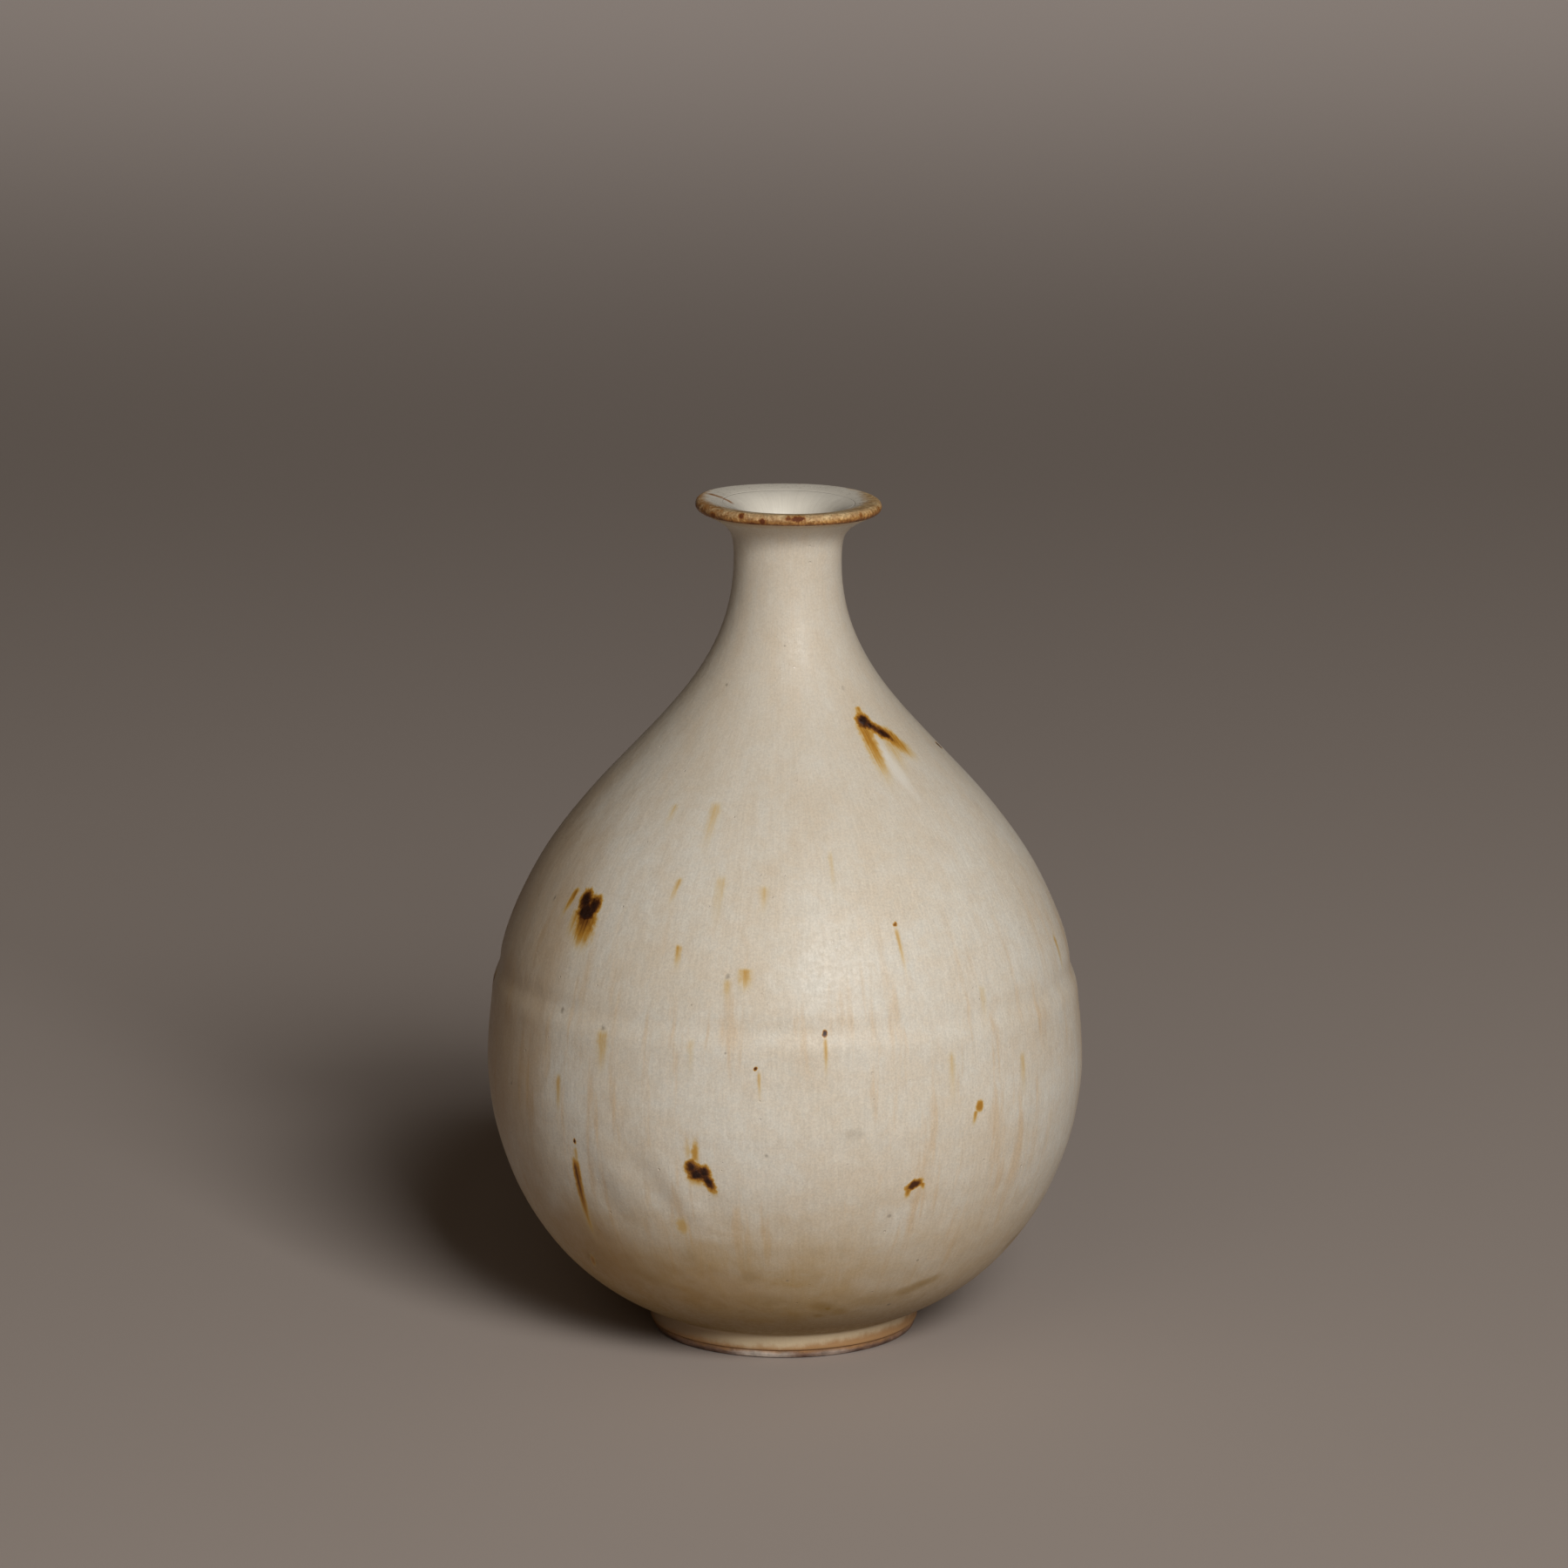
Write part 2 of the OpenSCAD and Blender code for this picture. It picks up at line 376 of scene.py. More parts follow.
def turn_gap(turn, center):
    """Turn from a place, the short way round, in degrees."""
    return (turn - center + 180) % 360 - 180


def stand_out(radius, height, turn):
    """How far the wall stands out from its outline at a place, in millimetres."""
    on_wall = bell(height, WALL_MIDDLE, WALL_REACH)
    out = OVAL * np.cos(2 * np.radians(turn - OVAL_TURN)) * on_wall
    lobes = LOBES * np.cos(3 * np.radians(turn - LOBE_TURN))
    out = out + lobes * bell(height, LOBE_MIDDLE, LOBE_REACH)
    spiral = 2 * pi * height / RING_PITCH + np.radians(turn)
    ring_share = on_wall * (1 + RING_UNEVEN * np.cos(np.radians(turn * 2)))
    out = out + RING_DEPTH * np.sin(spiral) * ring_share
    out = out + SWELL_DEPTH * np.sin(spiral * SWELL_SHARE + 1) * on_wall
    for side in (-1, 1):
        knuckle = bell(turn_gap(turn, side * KNUCKLE_TURN), 0, KNUCKLE_REACH)
        ridge = bell(height, KNUCKLE_HEIGHT, KNUCKLE_HALF_WIDTH)
        dip = bell(height, KNUCKLE_HEIGHT - KNUCKLE_DROP, KNUCKLE_HALF_WIDTH)
        out = out + KNUCKLE_DEPTH * knuckle * (ridge - dip)
    for press in PRESSES:
        across = np.radians(turn_gap(turn, press.turn)) * radius
        up = height - press.height
        slant = radians(press.slant)
        along = up * np.cos(slant) - across * np.sin(slant)
        aside = up * np.sin(slant) + across * np.cos(slant)
        pressed = bell(along, 0, press.half_length) * bell(aside, 0, press.half_width)
        out = out + press.push * pressed
    return out


def thrown(radius, height, turn):
    """Where a point of the outline ends up on the hand-thrown pot, in millimetres."""
    angle = np.radians(turn)
    uneven = np.where(radius > 1, stand_out(radius, height, turn), 0)
    out = uneven * np.clip((height - CALM_HEIGHT) / CALM_FADE, 0, 1)
    wave = LIP_WAVE * np.sin(2 * angle + 0.6) + LIP_RIPPLE * np.sin(5 * angle)
    grown = radius + out + bell(height, TOTAL_HEIGHT, LIP_REACH) * wave
    share = np.clip(height / TOTAL_HEIGHT, 0, 1)
    x = grown * np.sin(angle) + LEAN * share**2
    y = -grown * np.cos(angle)
    near_lip = np.clip((height - LIP_START) / LIP_FADE, 0, 1) ** 2
    tilt = radius * (LIP_NOD * np.cos(angle) - LIP_TILT * np.sin(angle))
    lift = near_lip * (tilt + LIP_LIFT * np.sin(3 * angle + 1) * radius / LIP_RADIUS)
    return x, y, height + lift


# ------------------------------------------------------------------------------- the meshes

def turned_mesh(name, outline, is_ring=True, runs=None):
    """Mesh of an outline turned about the axis and thrown.

    A ring's outline closes on itself; any other starts and ends on the axis. runs gives the
    length up the wall of each point of the outline, for surfaces whose marks run with it.
    """
    turn = np.arange(COLUMNS) * 360 / COLUMNS - 180
    rows = outline if is_ring else outline[1:-1]
    radius, angle = np.meshgrid(rows[:, 0], turn, indexing="ij")
    height = np.meshgrid(rows[:, 1], turn, indexing="ij")[0]
    points = np.stack(thrown(radius, height, angle), axis=-1).reshape(-1, 3) * MM
    count = len(rows)
    corner = np.arange(count * COLUMNS).reshape(count, COLUMNS)
    if is_ring:
        corner = np.vstack([corner, corner[:1]])
    right = np.roll(corner, -1, axis=1)
    quads = np.stack([corner[:-1], right[:-1], right[1:], corner[1:]], axis=-1).reshape(-1, 4)
    faces = quads.tolist()
    if not is_ring:
        first, last = corner[0].tolist(), corner[-1].tolist()
        bottom, top = len(points), len(points) + 1
        faces += [[bottom, b, a] for a, b in zip(first, first[1:] + first[:1])]
        faces += [[top, a, b] for a, b in zip(last, last[1:] + last[:1])]
        tips = [thrown(*outline[0], 0), thrown(*outline[-1], 0)]
        points = np.vstack([points, np.array(tips, dtype=float) * MM])
    mesh = bpy.data.meshes.new(name)
    mesh.from_pydata(points.tolist(), [], faces)
    mesh.update()
    mesh.shade_smooth()
    if runs is not None:
        along = np.zeros(len(points), dtype=np.float32)
        along[:count * COLUMNS] = np.repeat(runs, COLUMNS)
        mesh.attributes.new("run", "FLOAT", "POINT").data.foreach_set("value", along)
    return mesh


def put_piece(name, node, slot, finish, outline, **shape):
    """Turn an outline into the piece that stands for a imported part."""
    mesh = turned_mesh(name, outline, **shape)
    piece = bpy.data.objects.new(name, mesh)
    bpy.context.scene.collection.objects.link(piece)
    mesh.materials.append(finish)
    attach(piece, "root")
    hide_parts(node)
    return piece


def lengths_from(curve, start):
    """Length along a curve of each of its points, counted from one of them."""
    steps = np.linalg.norm(np.diff(curve, axis=0), axis=1)
    length = np.concatenate([[0], np.cumsum(steps)])
    return length - length[start]


# ------------------------------------------------------------------------------ shader bench

class Bench:
    """Adds nodes to one node tree."""

    def __init__(self, tree):
        self.tree = tree

    def add(self, kind, **settings):
        node = self.tree.nodes.new(kind)
        for name, value in settings.items():
            setattr(node, name, value)
        return node

    def feed(self, node, **values):
        """Link or set inputs by name; spaces in a name are written as underscores."""
        for name, value in values.items():
            self.plug(node.inputs[name.replace("_", " ")], value)

    def plug(self, socket, value):
        if isinstance(value, bpy.types.NodeSocket):
            self.tree.links.new(value, socket)
        else:
            socket.default_value = value

    def math(self, operation, *values, clamp=False):
        node = self.add("ShaderNodeMath", operation=operation, use_clamp=clamp)
        for socket, value in zip(node.inputs, values):
            self.plug(socket, value)
        return node.outputs[0]

    def times(self, *values, clamp=False):
        return self.math("MULTIPLY", *values, clamp=clamp)

    def plus(self, first, second):
        return self.math("ADD", first, second)

    def minus(self, first, second):
        return self.math("SUBTRACT", first, second)

    def over(self, first, second):
        return self.math("DIVIDE", first, second)

    def most(self, first, second):
        return self.math("MAXIMUM", first, second)

    def times_plus(self, first, second, third):
        """first * second + third."""
        return self.math("MULTIPLY_ADD", first, second, third)

    def vector(self, operation, *values):
        node = self.add("ShaderNodeVectorMath", operation=operation)
        for socket, value in zip(node.inputs, values):
            self.plug(socket, value)
        return node.outputs["Vector"]

    def combine(self, x, y, z):
        node = self.add("ShaderNodeCombineXYZ")
        self.feed(node, X=x, Y=y, Z=z)
        return node.outputs[0]

    def noise(self, vector, scale, detail=2.0, roughness=0.5, distortion=0.0):
        node = self.add("ShaderNodeTexNoise")
        self.feed(node, Vector=vector, Scale=scale, Detail=detail, Roughness=roughness,
                  Distortion=distortion)
        return node.outputs[0]

    def fade(self, value, start, end, low=0.0, high=1.0):
        """low at start, high at end, and a smooth change between."""
        node = self.add("ShaderNodeMapRange", interpolation_type="SMOOTHSTEP")
        self.feed(node, Value=value, From_Min=start, From_Max=end, To_Min=low, To_Max=high)
        return node.outputs["Result"]

    def mix(self, share, first, second):
        """Blend of two colours."""
        node = self.add("ShaderNodeMix", data_type="RGBA")
        self.plug(node.inputs["Factor"], share)
        self.plug(node.inputs[6], first)
        self.plug(node.inputs[7], second)
        return node.outputs[2]

    def tint(self, share, color, value, low, high):
        """A colour made lighter or darker where a value leaves its middle."""
        node = self.add("ShaderNodeHueSaturation")
        self.feed(node, Value=self.fade(value, low, high, 1 - share, 1 + share), Color=color)
        return node.outputs[0]

    def ramp(self, value, stops):
        """Colour by value, from (position, colour) stops."""
        node = self.add("ShaderNodeValToRGB")
        self.plug(node.inputs[0], value)
        points = node.color_ramp.elements
        while len(points) < len(stops):
            points.new(0.5)
        for point, (position, color) in zip(points, stops):
            point.position = position
            point.color = color
        return node.outputs[0]

    def group(self, tree, **values):
        node = self.add("ShaderNodeGroup", node_tree=tree)
        self.feed(node, **values)
        return node.outputs


# Sockets of a node group that carry vectors; every other one carries a number
VECTOR_SOCKETS = ("Point", "Flow")


def add_socket(tree, name, side):
    """A socket on the outside of a node group; an underscore in its name stands for a space."""
    kind = "NodeSocketVector" if name in VECTOR_SOCKETS else "NodeSocketFloat"
    return tree.interface.new_socket(name.replace("_", " "), in_out=side, socket_type=kind)


def new_group(name, outputs, **inputs):
    """A node group. Returns its bench, the values that come in and the sockets they leave by."""
    tree = bpy.data.node_groups.new(name, "ShaderNodeTree")
    for socket, value in inputs.items():
        made = add_socket(tree, socket, "INPUT")
        if value is not None:
            made.default_value = value
    for socket in outputs:
        add_socket(tree, socket, "OUTPUT")
    bench = Bench(tree)
    return bench, bench.add("NodeGroupInput").outputs, bench.add("NodeGroupOutput").inputs


def rgb(red, green, blue):
    """An opaque colour."""
    return (red, green, blue, 1.0)


# ------------------------------------------------------------------------ shared node groups

def pot_place_group():
    """Where a point of the surface lies on the pot."""
    b, _, leave = new_group("pot_place", ["Point", "Flow", "Turn", "Radius", "Height"])
    raw = b.add("ShaderNodeTexCoord").outputs["Object"]
    scaled = b.add("ShaderNodeVectorMath", operation="SCALE")
    b.plug(scaled.inputs[0], raw)
    b.plug(scaled.inputs["Scale"], 1 / MM)
    point = scaled.outputs["Vector"]
    apart = b.add("ShaderNodeSeparateXYZ")
    b.plug(apart.inputs[0], point)
    x, y, z = apart.outputs
    radius = b.math("SQRT", b.plus(b.times(x, x), b.times(y, y)))
    safe = b.most(radius, 0.01)
    turn = b.math("DEGREES", b.math("ARCTAN2", x, b.times(y, -1.0)))
    flow = b.combine(b.times(b.over(x, safe), float(BELLY_RADIUS)),
                     b.times(b.over(y, safe), float(BELLY_RADIUS)), z)
    for name, value in (("Point", point), ("Flow", flow), ("Turn", turn), ("Radius", radius),
                        ("Height", z)):
        b.plug(leave[name], value)
    return b.tree


def runs_group():
    """Streaks that follow the glaze down the wall."""
    b, entry, leave = new_group("glaze_runs", ["Streak"], Flow=None, Width=1.0,
                                Length=10.0, Shift=0.0)
    across = b.over(1.0, entry["Width"])
    along = b.over(1.0, entry["Length"])
    stretched = b.vector("MULTIPLY", entry["Flow"], b.combine(across, across, along))
    moved = b.vector("ADD", stretched, b.combine(entry["Shift"], 0.0, entry["Shift"]))
    b.plug(leave["Streak"], b.noise(moved, 1.0, 3.0, 0.55, 0.2))
    return b.tree


def specks_group():
    """Small round grains scattered through a surface."""
    b, entry, leave = new_group("specks", ["Grain"], Point=None, Spacing=3.0, Size=0.2,
                                Share=0.3)
    scale = b.over(1.0, entry["Spacing"])
    cell = b.add("ShaderNodeTexVoronoi")
    b.feed(cell, Vector=entry["Point"], Scale=scale)
    apart = b.add("ShaderNodeSeparateColor")
    b.plug(apart.inputs[0], cell.outputs["Color"])
    present = b.math("LESS_THAN", apart.outputs[0], entry["Share"])
    size = b.times(entry["Size"], b.times_plus(apart.outputs[1], 0.7, 0.5))
    near = b.minus(1.0, b.over(cell.outputs["Distance"], size))
    b.plug(leave["Grain"], b.times(b.fade(near, 0.0, 0.5), present))
    return b.tree


def mottle_group():
    """Soft clouds of one size, as a share from 0 to 1."""
    b, entry, leave = new_group("mottle", ["Cloud"], Point=None, Size=10.0, Softness=0.15)
    cloud = b.noise(entry["Point"], b.over(1.0, entry["Size"]), 4.0, 0.6, 0.4)
    low = b.minus(0.5, entry["Softness"])
    high = b.plus(0.5, entry["Softness"])
    b.plug(leave["Cloud"], b.fade(cloud, low, high))
    return b.tree


def spot_group():
    """Distance from the edge of a ragged oval stain, in millimetres, and its soft strength."""
    b, entry, leave = new_group("iron_spot", ["Distance", "Stain"], Turn=0.0, Run=0.0,
                                Radius=50.0, Ragged=0.5, At_Turn=0.0, At_Run=50.0,
                                Half_Width=1.0, Half_Length=1.0, Slant=0.0, Edge=1.0)
    gap = b.math("RADIANS", b.minus(entry["Turn"], entry["At Turn"]))
    across = b.times(gap, entry["Radius"])
    up = b.minus(entry["Run"], entry["At Run"])
    slant = b.math("RADIANS", entry["Slant"])
    cosine = b.math("COSINE", slant)
    sine = b.math("SINE", slant)
    aside = b.minus(b.times(across, cosine), b.times(up, sine))
    along = b.plus(b.times(across, sine), b.times(up, cosine))
    wide = b.over(aside, entry["Half Width"])
    tall = b.over(along, entry["Half Length"])
    spread = b.math("SQRT", b.plus(b.times(wide, wide), b.times(tall, tall)))
    slim = b.math("MINIMUM", entry["Half Width"], entry["Half Length"])
    distance = b.times(b.minus(spread, 1.0), slim)
    b.plug(leave["Distance"], distance)
    ragged = b.times_plus(b.minus(entry["Ragged"], 0.5), 1.1, distance)
    b.plug(leave["Stain"], b.fade(ragged, entry["Edge"], -0.2))
    return b.tree


def trail_group():
    """A soft streak that runs down from a mark, drifts aside and fades out."""
    b, entry, leave = new_group("iron_trail", ["Stain"], Turn=0.0, Run=0.0, Radius=50.0,
                                Ragged=0.5, At_Turn=0.0, Top=50.0, Half_Width=1.0,
                                Length=10.0, Drift=0.0)
    gap = b.math("RADIANS", b.minus(entry["Turn"], entry["At Turn"]))
    down = b.over(b.minus(entry["Top"], entry["Run"]), entry["Length"])
    drifted = b.times(down, entry["Drift"])
    path = b.minus(b.times(gap, entry["Radius"]), drifted)
    aside = b.over(b.math("ABSOLUTE", path), entry["Half Width"])
    ragged = b.times_plus(b.minus(entry["Ragged"], 0.5), 0.8, aside)
    streak = b.fade(ragged, 1.6, 0.0)
    start = b.fade(down, -0.04, 0.14)
    end = b.fade(down, 1.0, 0.15)
    b.plug(leave["Stain"], b.times(streak, b.times(start, end)))
    return b.tree


def glaze_skin_group():
    """Fine relief of a satin glaze: flowed crystals, a faint ripple and pinholes."""
    b, entry, leave = new_group("glaze_skin", ["Relief", "Gloss"], Point=None, Flow=None,
                                Pinholes=0.1)
    crystal = b.noise(entry["Point"], 2.4, 3.0, 0.65)
    flowed = streak_of(b, entry["Flow"], 0.7, 3.5, 0.0)
    ripple = b.noise(entry["Point"], 0.22, 2.0)
    pits = grains_of(b, entry["Point"], 2.6, 0.11, entry["Pinholes"])
    relief = b.times_plus(crystal, 0.022, b.times(flowed, 0.03))
    relief = b.times_plus(ripple, 0.13, relief)
    relief = b.times_plus(pits, -0.09, relief)
    b.plug(leave["Relief"], relief)
    b.plug(leave["Gloss"], b.fade(b.noise(entry["Point"], 0.9, 4.0, 0.7), 0.35, 0.65))
    return b.tree


def clay_grain_group():
    """Bare fired clay: grog grains, fine tooth and turning lines."""
    b, entry, leave = new_group("clay_grain", ["Tone", "Grog", "Relief"], Point=None,
                                Radius=20.0, Height=0.0)
    tooth = b.noise(entry["Point"], 3.0, 4.0, 0.7)
    grog = grains_of(b, entry["Point"], 1.3, 0.3, 0.35)
    wobble = b.noise(entry["Point"], 0.08, 2.0)
    line = b.plus(b.times(entry["Radius"], 5.5), b.times(entry["Height"], 6.5))
    turning = b.math("SINE", b.times_plus(wobble, 9.0, line))
    relief = b.times_plus(tooth, 0.12, b.times(turning, 0.025))
    b.plug(leave["Relief"], b.times_plus(grog, 0.05, relief))
    b.plug(leave["Tone"], b.noise(entry["Point"], 0.35, 4.0, 0.65, 0.3))
    b.plug(leave["Grog"], grog)
    return b.tree


def rim_fade_group():
    """How strong the iron wash lies on the lip: wide at the front, thin at the back."""
    b, entry, leave = new_group("rim_fade", ["Wash"], Point=None, Turn=0.0, Radius=18.0)
    round_back = b.math("ABSOLUTE", entry["Turn"])
    limit = b.plus(b.fade(round_back, 40.0, 95.0, 15.2, 16.9),
                   b.fade(round_back, 95.0, 150.0, 0.0, 3.2))
    brushed = b.noise(entry["Point"], 0.55, 4.0, 0.65, 0.5)
    edge = b.times_plus(b.minus(brushed, 0.5), 3.2, entry["Radius"])
    above = b.minus(edge, limit)
    b.plug(leave["Wash"], b.fade(above, -1.3, 1.7))
    return b.tree


def rim_line_group():
    """A thin rust line where the wash ran from the rim into the left of the mouth."""
    b, entry, leave = new_group("rim_line", ["Line"], Point=None, Turn=0.0, Radius=18.0)
    wander = b.noise(entry["Point"], 0.4, 3.0, 0.6)
    inwards = b.minus(17.5, entry["Radius"])
    curl = b.times(b.times(inwards, b.math("ABSOLUTE", inwards)), 0.22)
    off_path = b.minus(entry["Turn"], b.plus(curl, -107.0))
    gap = b.times(b.math("RADIANS", off_path), entry["Radius"])
    gap = b.math("ABSOLUTE", b.times_plus(b.minus(wander, 0.5), 0.8, gap))
    stretch = b.times(b.fade(inwards, 0.4, 1.4), b.fade(inwards, 7.2, 6.0))
    line = b.times(b.fade(gap, 1.1, 0.25), stretch)
    b.plug(leave["Line"], b.times(line, b.fade(wander, 0.3, 0.5, 0.45, 0.95)))
    return b.tree


def cloud_of(bench, point, size, softness):
    """Output of the mottle group."""
    return bench.group(MOTTLE, Point=point, Size=size, Softness=softness)["Cloud"]


def streak_of(bench, flow, width, length, shift):
    """Output of the runs group."""
    return bench.group(RUNS, Flow=flow, Width=width, Length=length, Shift=shift)["Streak"]


def grains_of(bench, point, spacing, size, share):
    """Output of the specks group."""
    return bench.group(SPECKS, Point=point, Spacing=spacing, Size=size, Share=share)["Grain"]


PLACE = pot_place_group()
RIM_FADE = rim_fade_group()
RIM_LINE = rim_line_group()
RUNS = runs_group()
SPECKS = specks_group()
MOTTLE = mottle_group()
SPOT = spot_group()
TRAIL = trail_group()
GLAZE_SKIN = glaze_skin_group()
CLAY_GRAIN = clay_grain_group()


# ------------------------------------------------------------------------- marks of the glaze

class Spot(NamedTuple):
    """A stain at a turn (degrees) and a length up the wall from the foot (mm)."""
    turn: float
    run: float
    half_width: float
    half_length: float
    edge: float
    strength: float = 1.0
    slant: float = 0.0


class Trail(NamedTuple):
    """A streak that starts at a turn and a length up the wall."""
    turn: float
    top: float
    half_width: float
    length: float
    drift: float
    strength: float


# Iron that bled out of the clay: dark cores, then the paler ochre spots
IRON_SPOTS = [
    # the two-lobed spot on the left of the shoulder
    Spot(-51.7, 112.2, 1.5, 2.1, 0.9, slant=-12),
    Spot(-48.4, 111.7, 1.5, 1.8, 0.9, slant=15),
    Spot(-50.2, 110.3, 2.0, 1.5, 1.1),
    # the slanting spot high on the right
    Spot(43.1, 158.0, 1.25, 1.2, 1.0),
    Spot(46.4, 156.4, 1.9, 0.65, 1.0, slant=46),
    Spot(49.4, 154.6, 1.1, 0.3, 1.0, slant=50),
    # the cluster low at the front
    Spot(-17.7, 60.2, 1.05, 1.15, 0.8, slant=20),
    Spot(-16.7, 58.9, 1.25, 1.0, 0.8),
    Spot(-15.4, 59.3, 1.1, 1.1, 0.8),
    Spot(-14.7, 57.7, 0.5, 1.4, 0.75, slant=-28),
    # on the back of the pot
    Spot(118, 121, 1.6, 1.4, 1.2),
    Spot(121, 119.5, 1.2, 1.5, 1.1),
    Spot(163, 72, 1.3, 1.7, 1.0, slant=20),
    Spot(165, 70.2, 1.3, 1.1, 1.0),
    Spot(-112, 58, 1.1, 1.3, 1.0),
    Spot(-143, 134, 1.5, 0.7, 1.0, slant=30),
    Spot(-88, 86, 0.7, 0.9, 0.8),
]

OCHRE_SPOTS = [
    Spot(25.7, 55.2, 1.15, 0.6, 0.9, 0.84, -26),
    Spot(-16.9, 63.2, 0.4, 1.3, 1.1, 0.34),
    Spot(-18.3, 63.7, 0.3, 1.0, 1.0, 0.2),
    Spot(39.7, 70.3, 0.6, 0.8, 1.0, 0.44),
    Spot(-44.05, 61.7, 0.25, 0.3, 0.5, 0.95),
    Spot(7.9, 89.2, 0.3, 0.35, 0.5),
    Spot(-5.4, 82, 0.22, 0.25, 0.45, 0.85),
    Spot(25.2, 110.9, 0.25, 0.3, 0.5, 0.6),
    Spot(-51.8, 29.4, 0.3, 1.0, 0.9, 0.45, 30),
    Spot(-21, 45.7, 0.7, 1.1, 1.5, 0.24),
    Spot(92, 145.2, 0.5, 0.9, 0.5, 0.95, -40),
    Spot(135, 96, 0.4, 0.5, 0.7, 0.8),
    Spot(-132, 40, 0.7, 0.9, 1.3, 0.5),
]

# Brown-olive clouds low on the bowl
OLIVE_SPOTS = [
    Spot(10.8, 20.8, 1.6, 0.9, 2.2, 0.5, 35),
    Spot(11.6, 20.2, 0.5, 0.35, 0.8, 0.9, 35),
    Spot(15.0, 18.6, 1.0, 0.7, 1.8, 0.5, 35),
    Spot(9.6, 17.0, 0.5, 0.4, 1.1, 0.6),
    Spot(36, 26, 1.8, 0.6, 1.8, 0.55, -18),
    Spot(32.5, 24.4, 1.6, 0.6, 2.2, 0.5, -18),
    Spot(25, 22.5, 2.2, 1.2, 3.0, 0.3),
    Spot(-7.7, 32.3, 0.8, 0.7, 2.2, 0.3),
    Spot(-21, 37.5, 0.9, 0.8, 2.4, 0.26),
    Spot(-34, 29, 1.4, 0.8, 2.6, 0.26, 20),
    Spot(-5, 24, 2.0, 1.2, 3.0, 0.26),
    Spot(-52, 30, 0.9, 1.2, 1.6, 0.4, 20),
    Spot(70, 30, 2.0, 1.0, 2.4, 0.45, -20),
    Spot(130, 24, 2.4, 1.0, 2.4, 0.5, 15),
    Spot(-100, 26, 2.0, 1.2, 2.6, 0.45),
    Spot(175, 30, 2.0, 1.0, 2.6, 0.4),
]

IRON_TRAILS = [
    Trail(-49.9, 110.8, 3.4, 11.5, 1.6, 0.72),
    Trail(-52.6, 110.5, 1.8, 9.5, -0.6, 0.34),
    Trail(-56.3, 114.6, 1.0, 9.6, -2.3, 0.5),
    Trail(43.6, 161.6, 1.0, 5.0, 0.0, 0.4),
    Trail(49.4, 156.2, 2.5, 13.0, 7.8, 0.6),
    Trail(41.8, 159.0, 1.9, 22.0, -1.5, 0.5),
    Trail(52.0, 154.5, 2.2, 15, -1.6, 0.26),
    Trail(-14.5, 57.8, 1.1, 5.6, 1.5, 0.5),
    Trail(-16.8, 59, 2.4, 4.6, 0.2, 0.42),
    Trail(24.7, 54.6, 0.75, 3.6, -0.5, 0.5),
    Trail(27.4, 55.6, 0.65, 2.6, 0.8, 0.45),
    Trail(-44.1, 61.0, 0.7, 11, -0.2, 0.3),
    Trail(-44.4, 58.6, 1.1, 25, -1.0, 0.74),
    Trail(38.9, 69.8, 0.7, 4.6, -1.0, 0.4),
    Trail(25.2, 110.8, 0.6, 14.5, 0.6, 0.3),
    Trail(7.9, 89, 0.55, 12, 0.0, 0.32),
    Trail(-4.8, 81.8, 0.55, 9.5, 0.5, 0.26),
    Trail(-8.0, 103, 1.7, 7.4, 0.1, 0.34),
    Trail(-11.6, 100.6, 1.1, 7.5, 0.1, 0.2),
    Trail(-23.1, 107, 0.9, 8.0, 0.5, 0.32),
    Trail(-26.4, 121.4, 0.9, 9.0, -1.4, 0.26),
    Trail(-22.3, 140, 1.5, 17, 0.3, 0.24),
    Trail(-37.0, 138, 1.1, 9, 0.4, 0.2),
    Trail(-15.7, 123, 1.5, 16, 0.2, 0.2),
    Trail(-4.8, 121, 1.2, 10, 0.0, 0.2),
    Trail(12.4, 129, 0.7, 16, -0.3, 0.17),
    Trail(-48.2, 76, 0.9, 13, 0.1, 0.28),
    Trail(-37.5, 87.5, 1.8, 14, 0.2, 0.26),
    Trail(33.5, 84, 1.1, 18, 0.0, 0.2),
    Trail(43, 96, 1.0, 12, 0.0, 0.18),
    Trail(52, 80, 1.1, 14, 0.0, 0.2),
    Trail(-18, 88, 0.9, 12, 0.0, 0.2),
    Trail(119, 119, 2.0, 12, -1.0, 0.56),
    Trail(164, 70, 1.6, 13, 1.0, 0.56),
    Trail(-112, 57, 1.1, 17, -0.8, 0.55),
    Trail(-143, 133, 1.3, 13, -1.5, 0.46),
    Trail(-88, 85, 0.8, 15, 0.2, 0.4),
    Trail(135, 96, 0.7, 15, 0.4, 0.35),
    Trail(-170, 108, 1.0, 18, 0.5, 0.3),
    Trail(75, 100, 0.9, 14, 0.3, 0.28),
]

GREY_SPOTS = [
    Spot(-50.9, 104.5, 0.24, 0.5, 0.4, 0.8),
    Spot(-49.4, 88.8, 0.26, 0.32, 0.45, 0.6),
    Spot(-37.5, 87.2, 0.26, 0.32, 0.45, 0.6),
    Spot(-11.5, 100.8, 0.26, 0.3, 0.5, 0.5),
    Spot(-3.3, 63.6, 0.22, 0.22, 0.4, 0.5),
    Spot(39.2, 165.9, 0.22, 0.26, 0.4, 0.5),
    Spot(21.4, 48.3, 0.3, 0.3, 0.5, 0.55),
    Spot(29.6, 19.1, 0.3, 0.3, 0.4, 0.7),
    Spot(13.1, 67.9, 0.9, 0.5, 1.4, 0.2),
    Spot(-64.1, 110.2, 0.26, 0.4, 0.4, 0.7),
    Spot(150, 130, 0.35, 0.35, 0.5, 0.6),
    Spot(-125, 75, 0.3, 0.3, 0.5, 0.6),
]

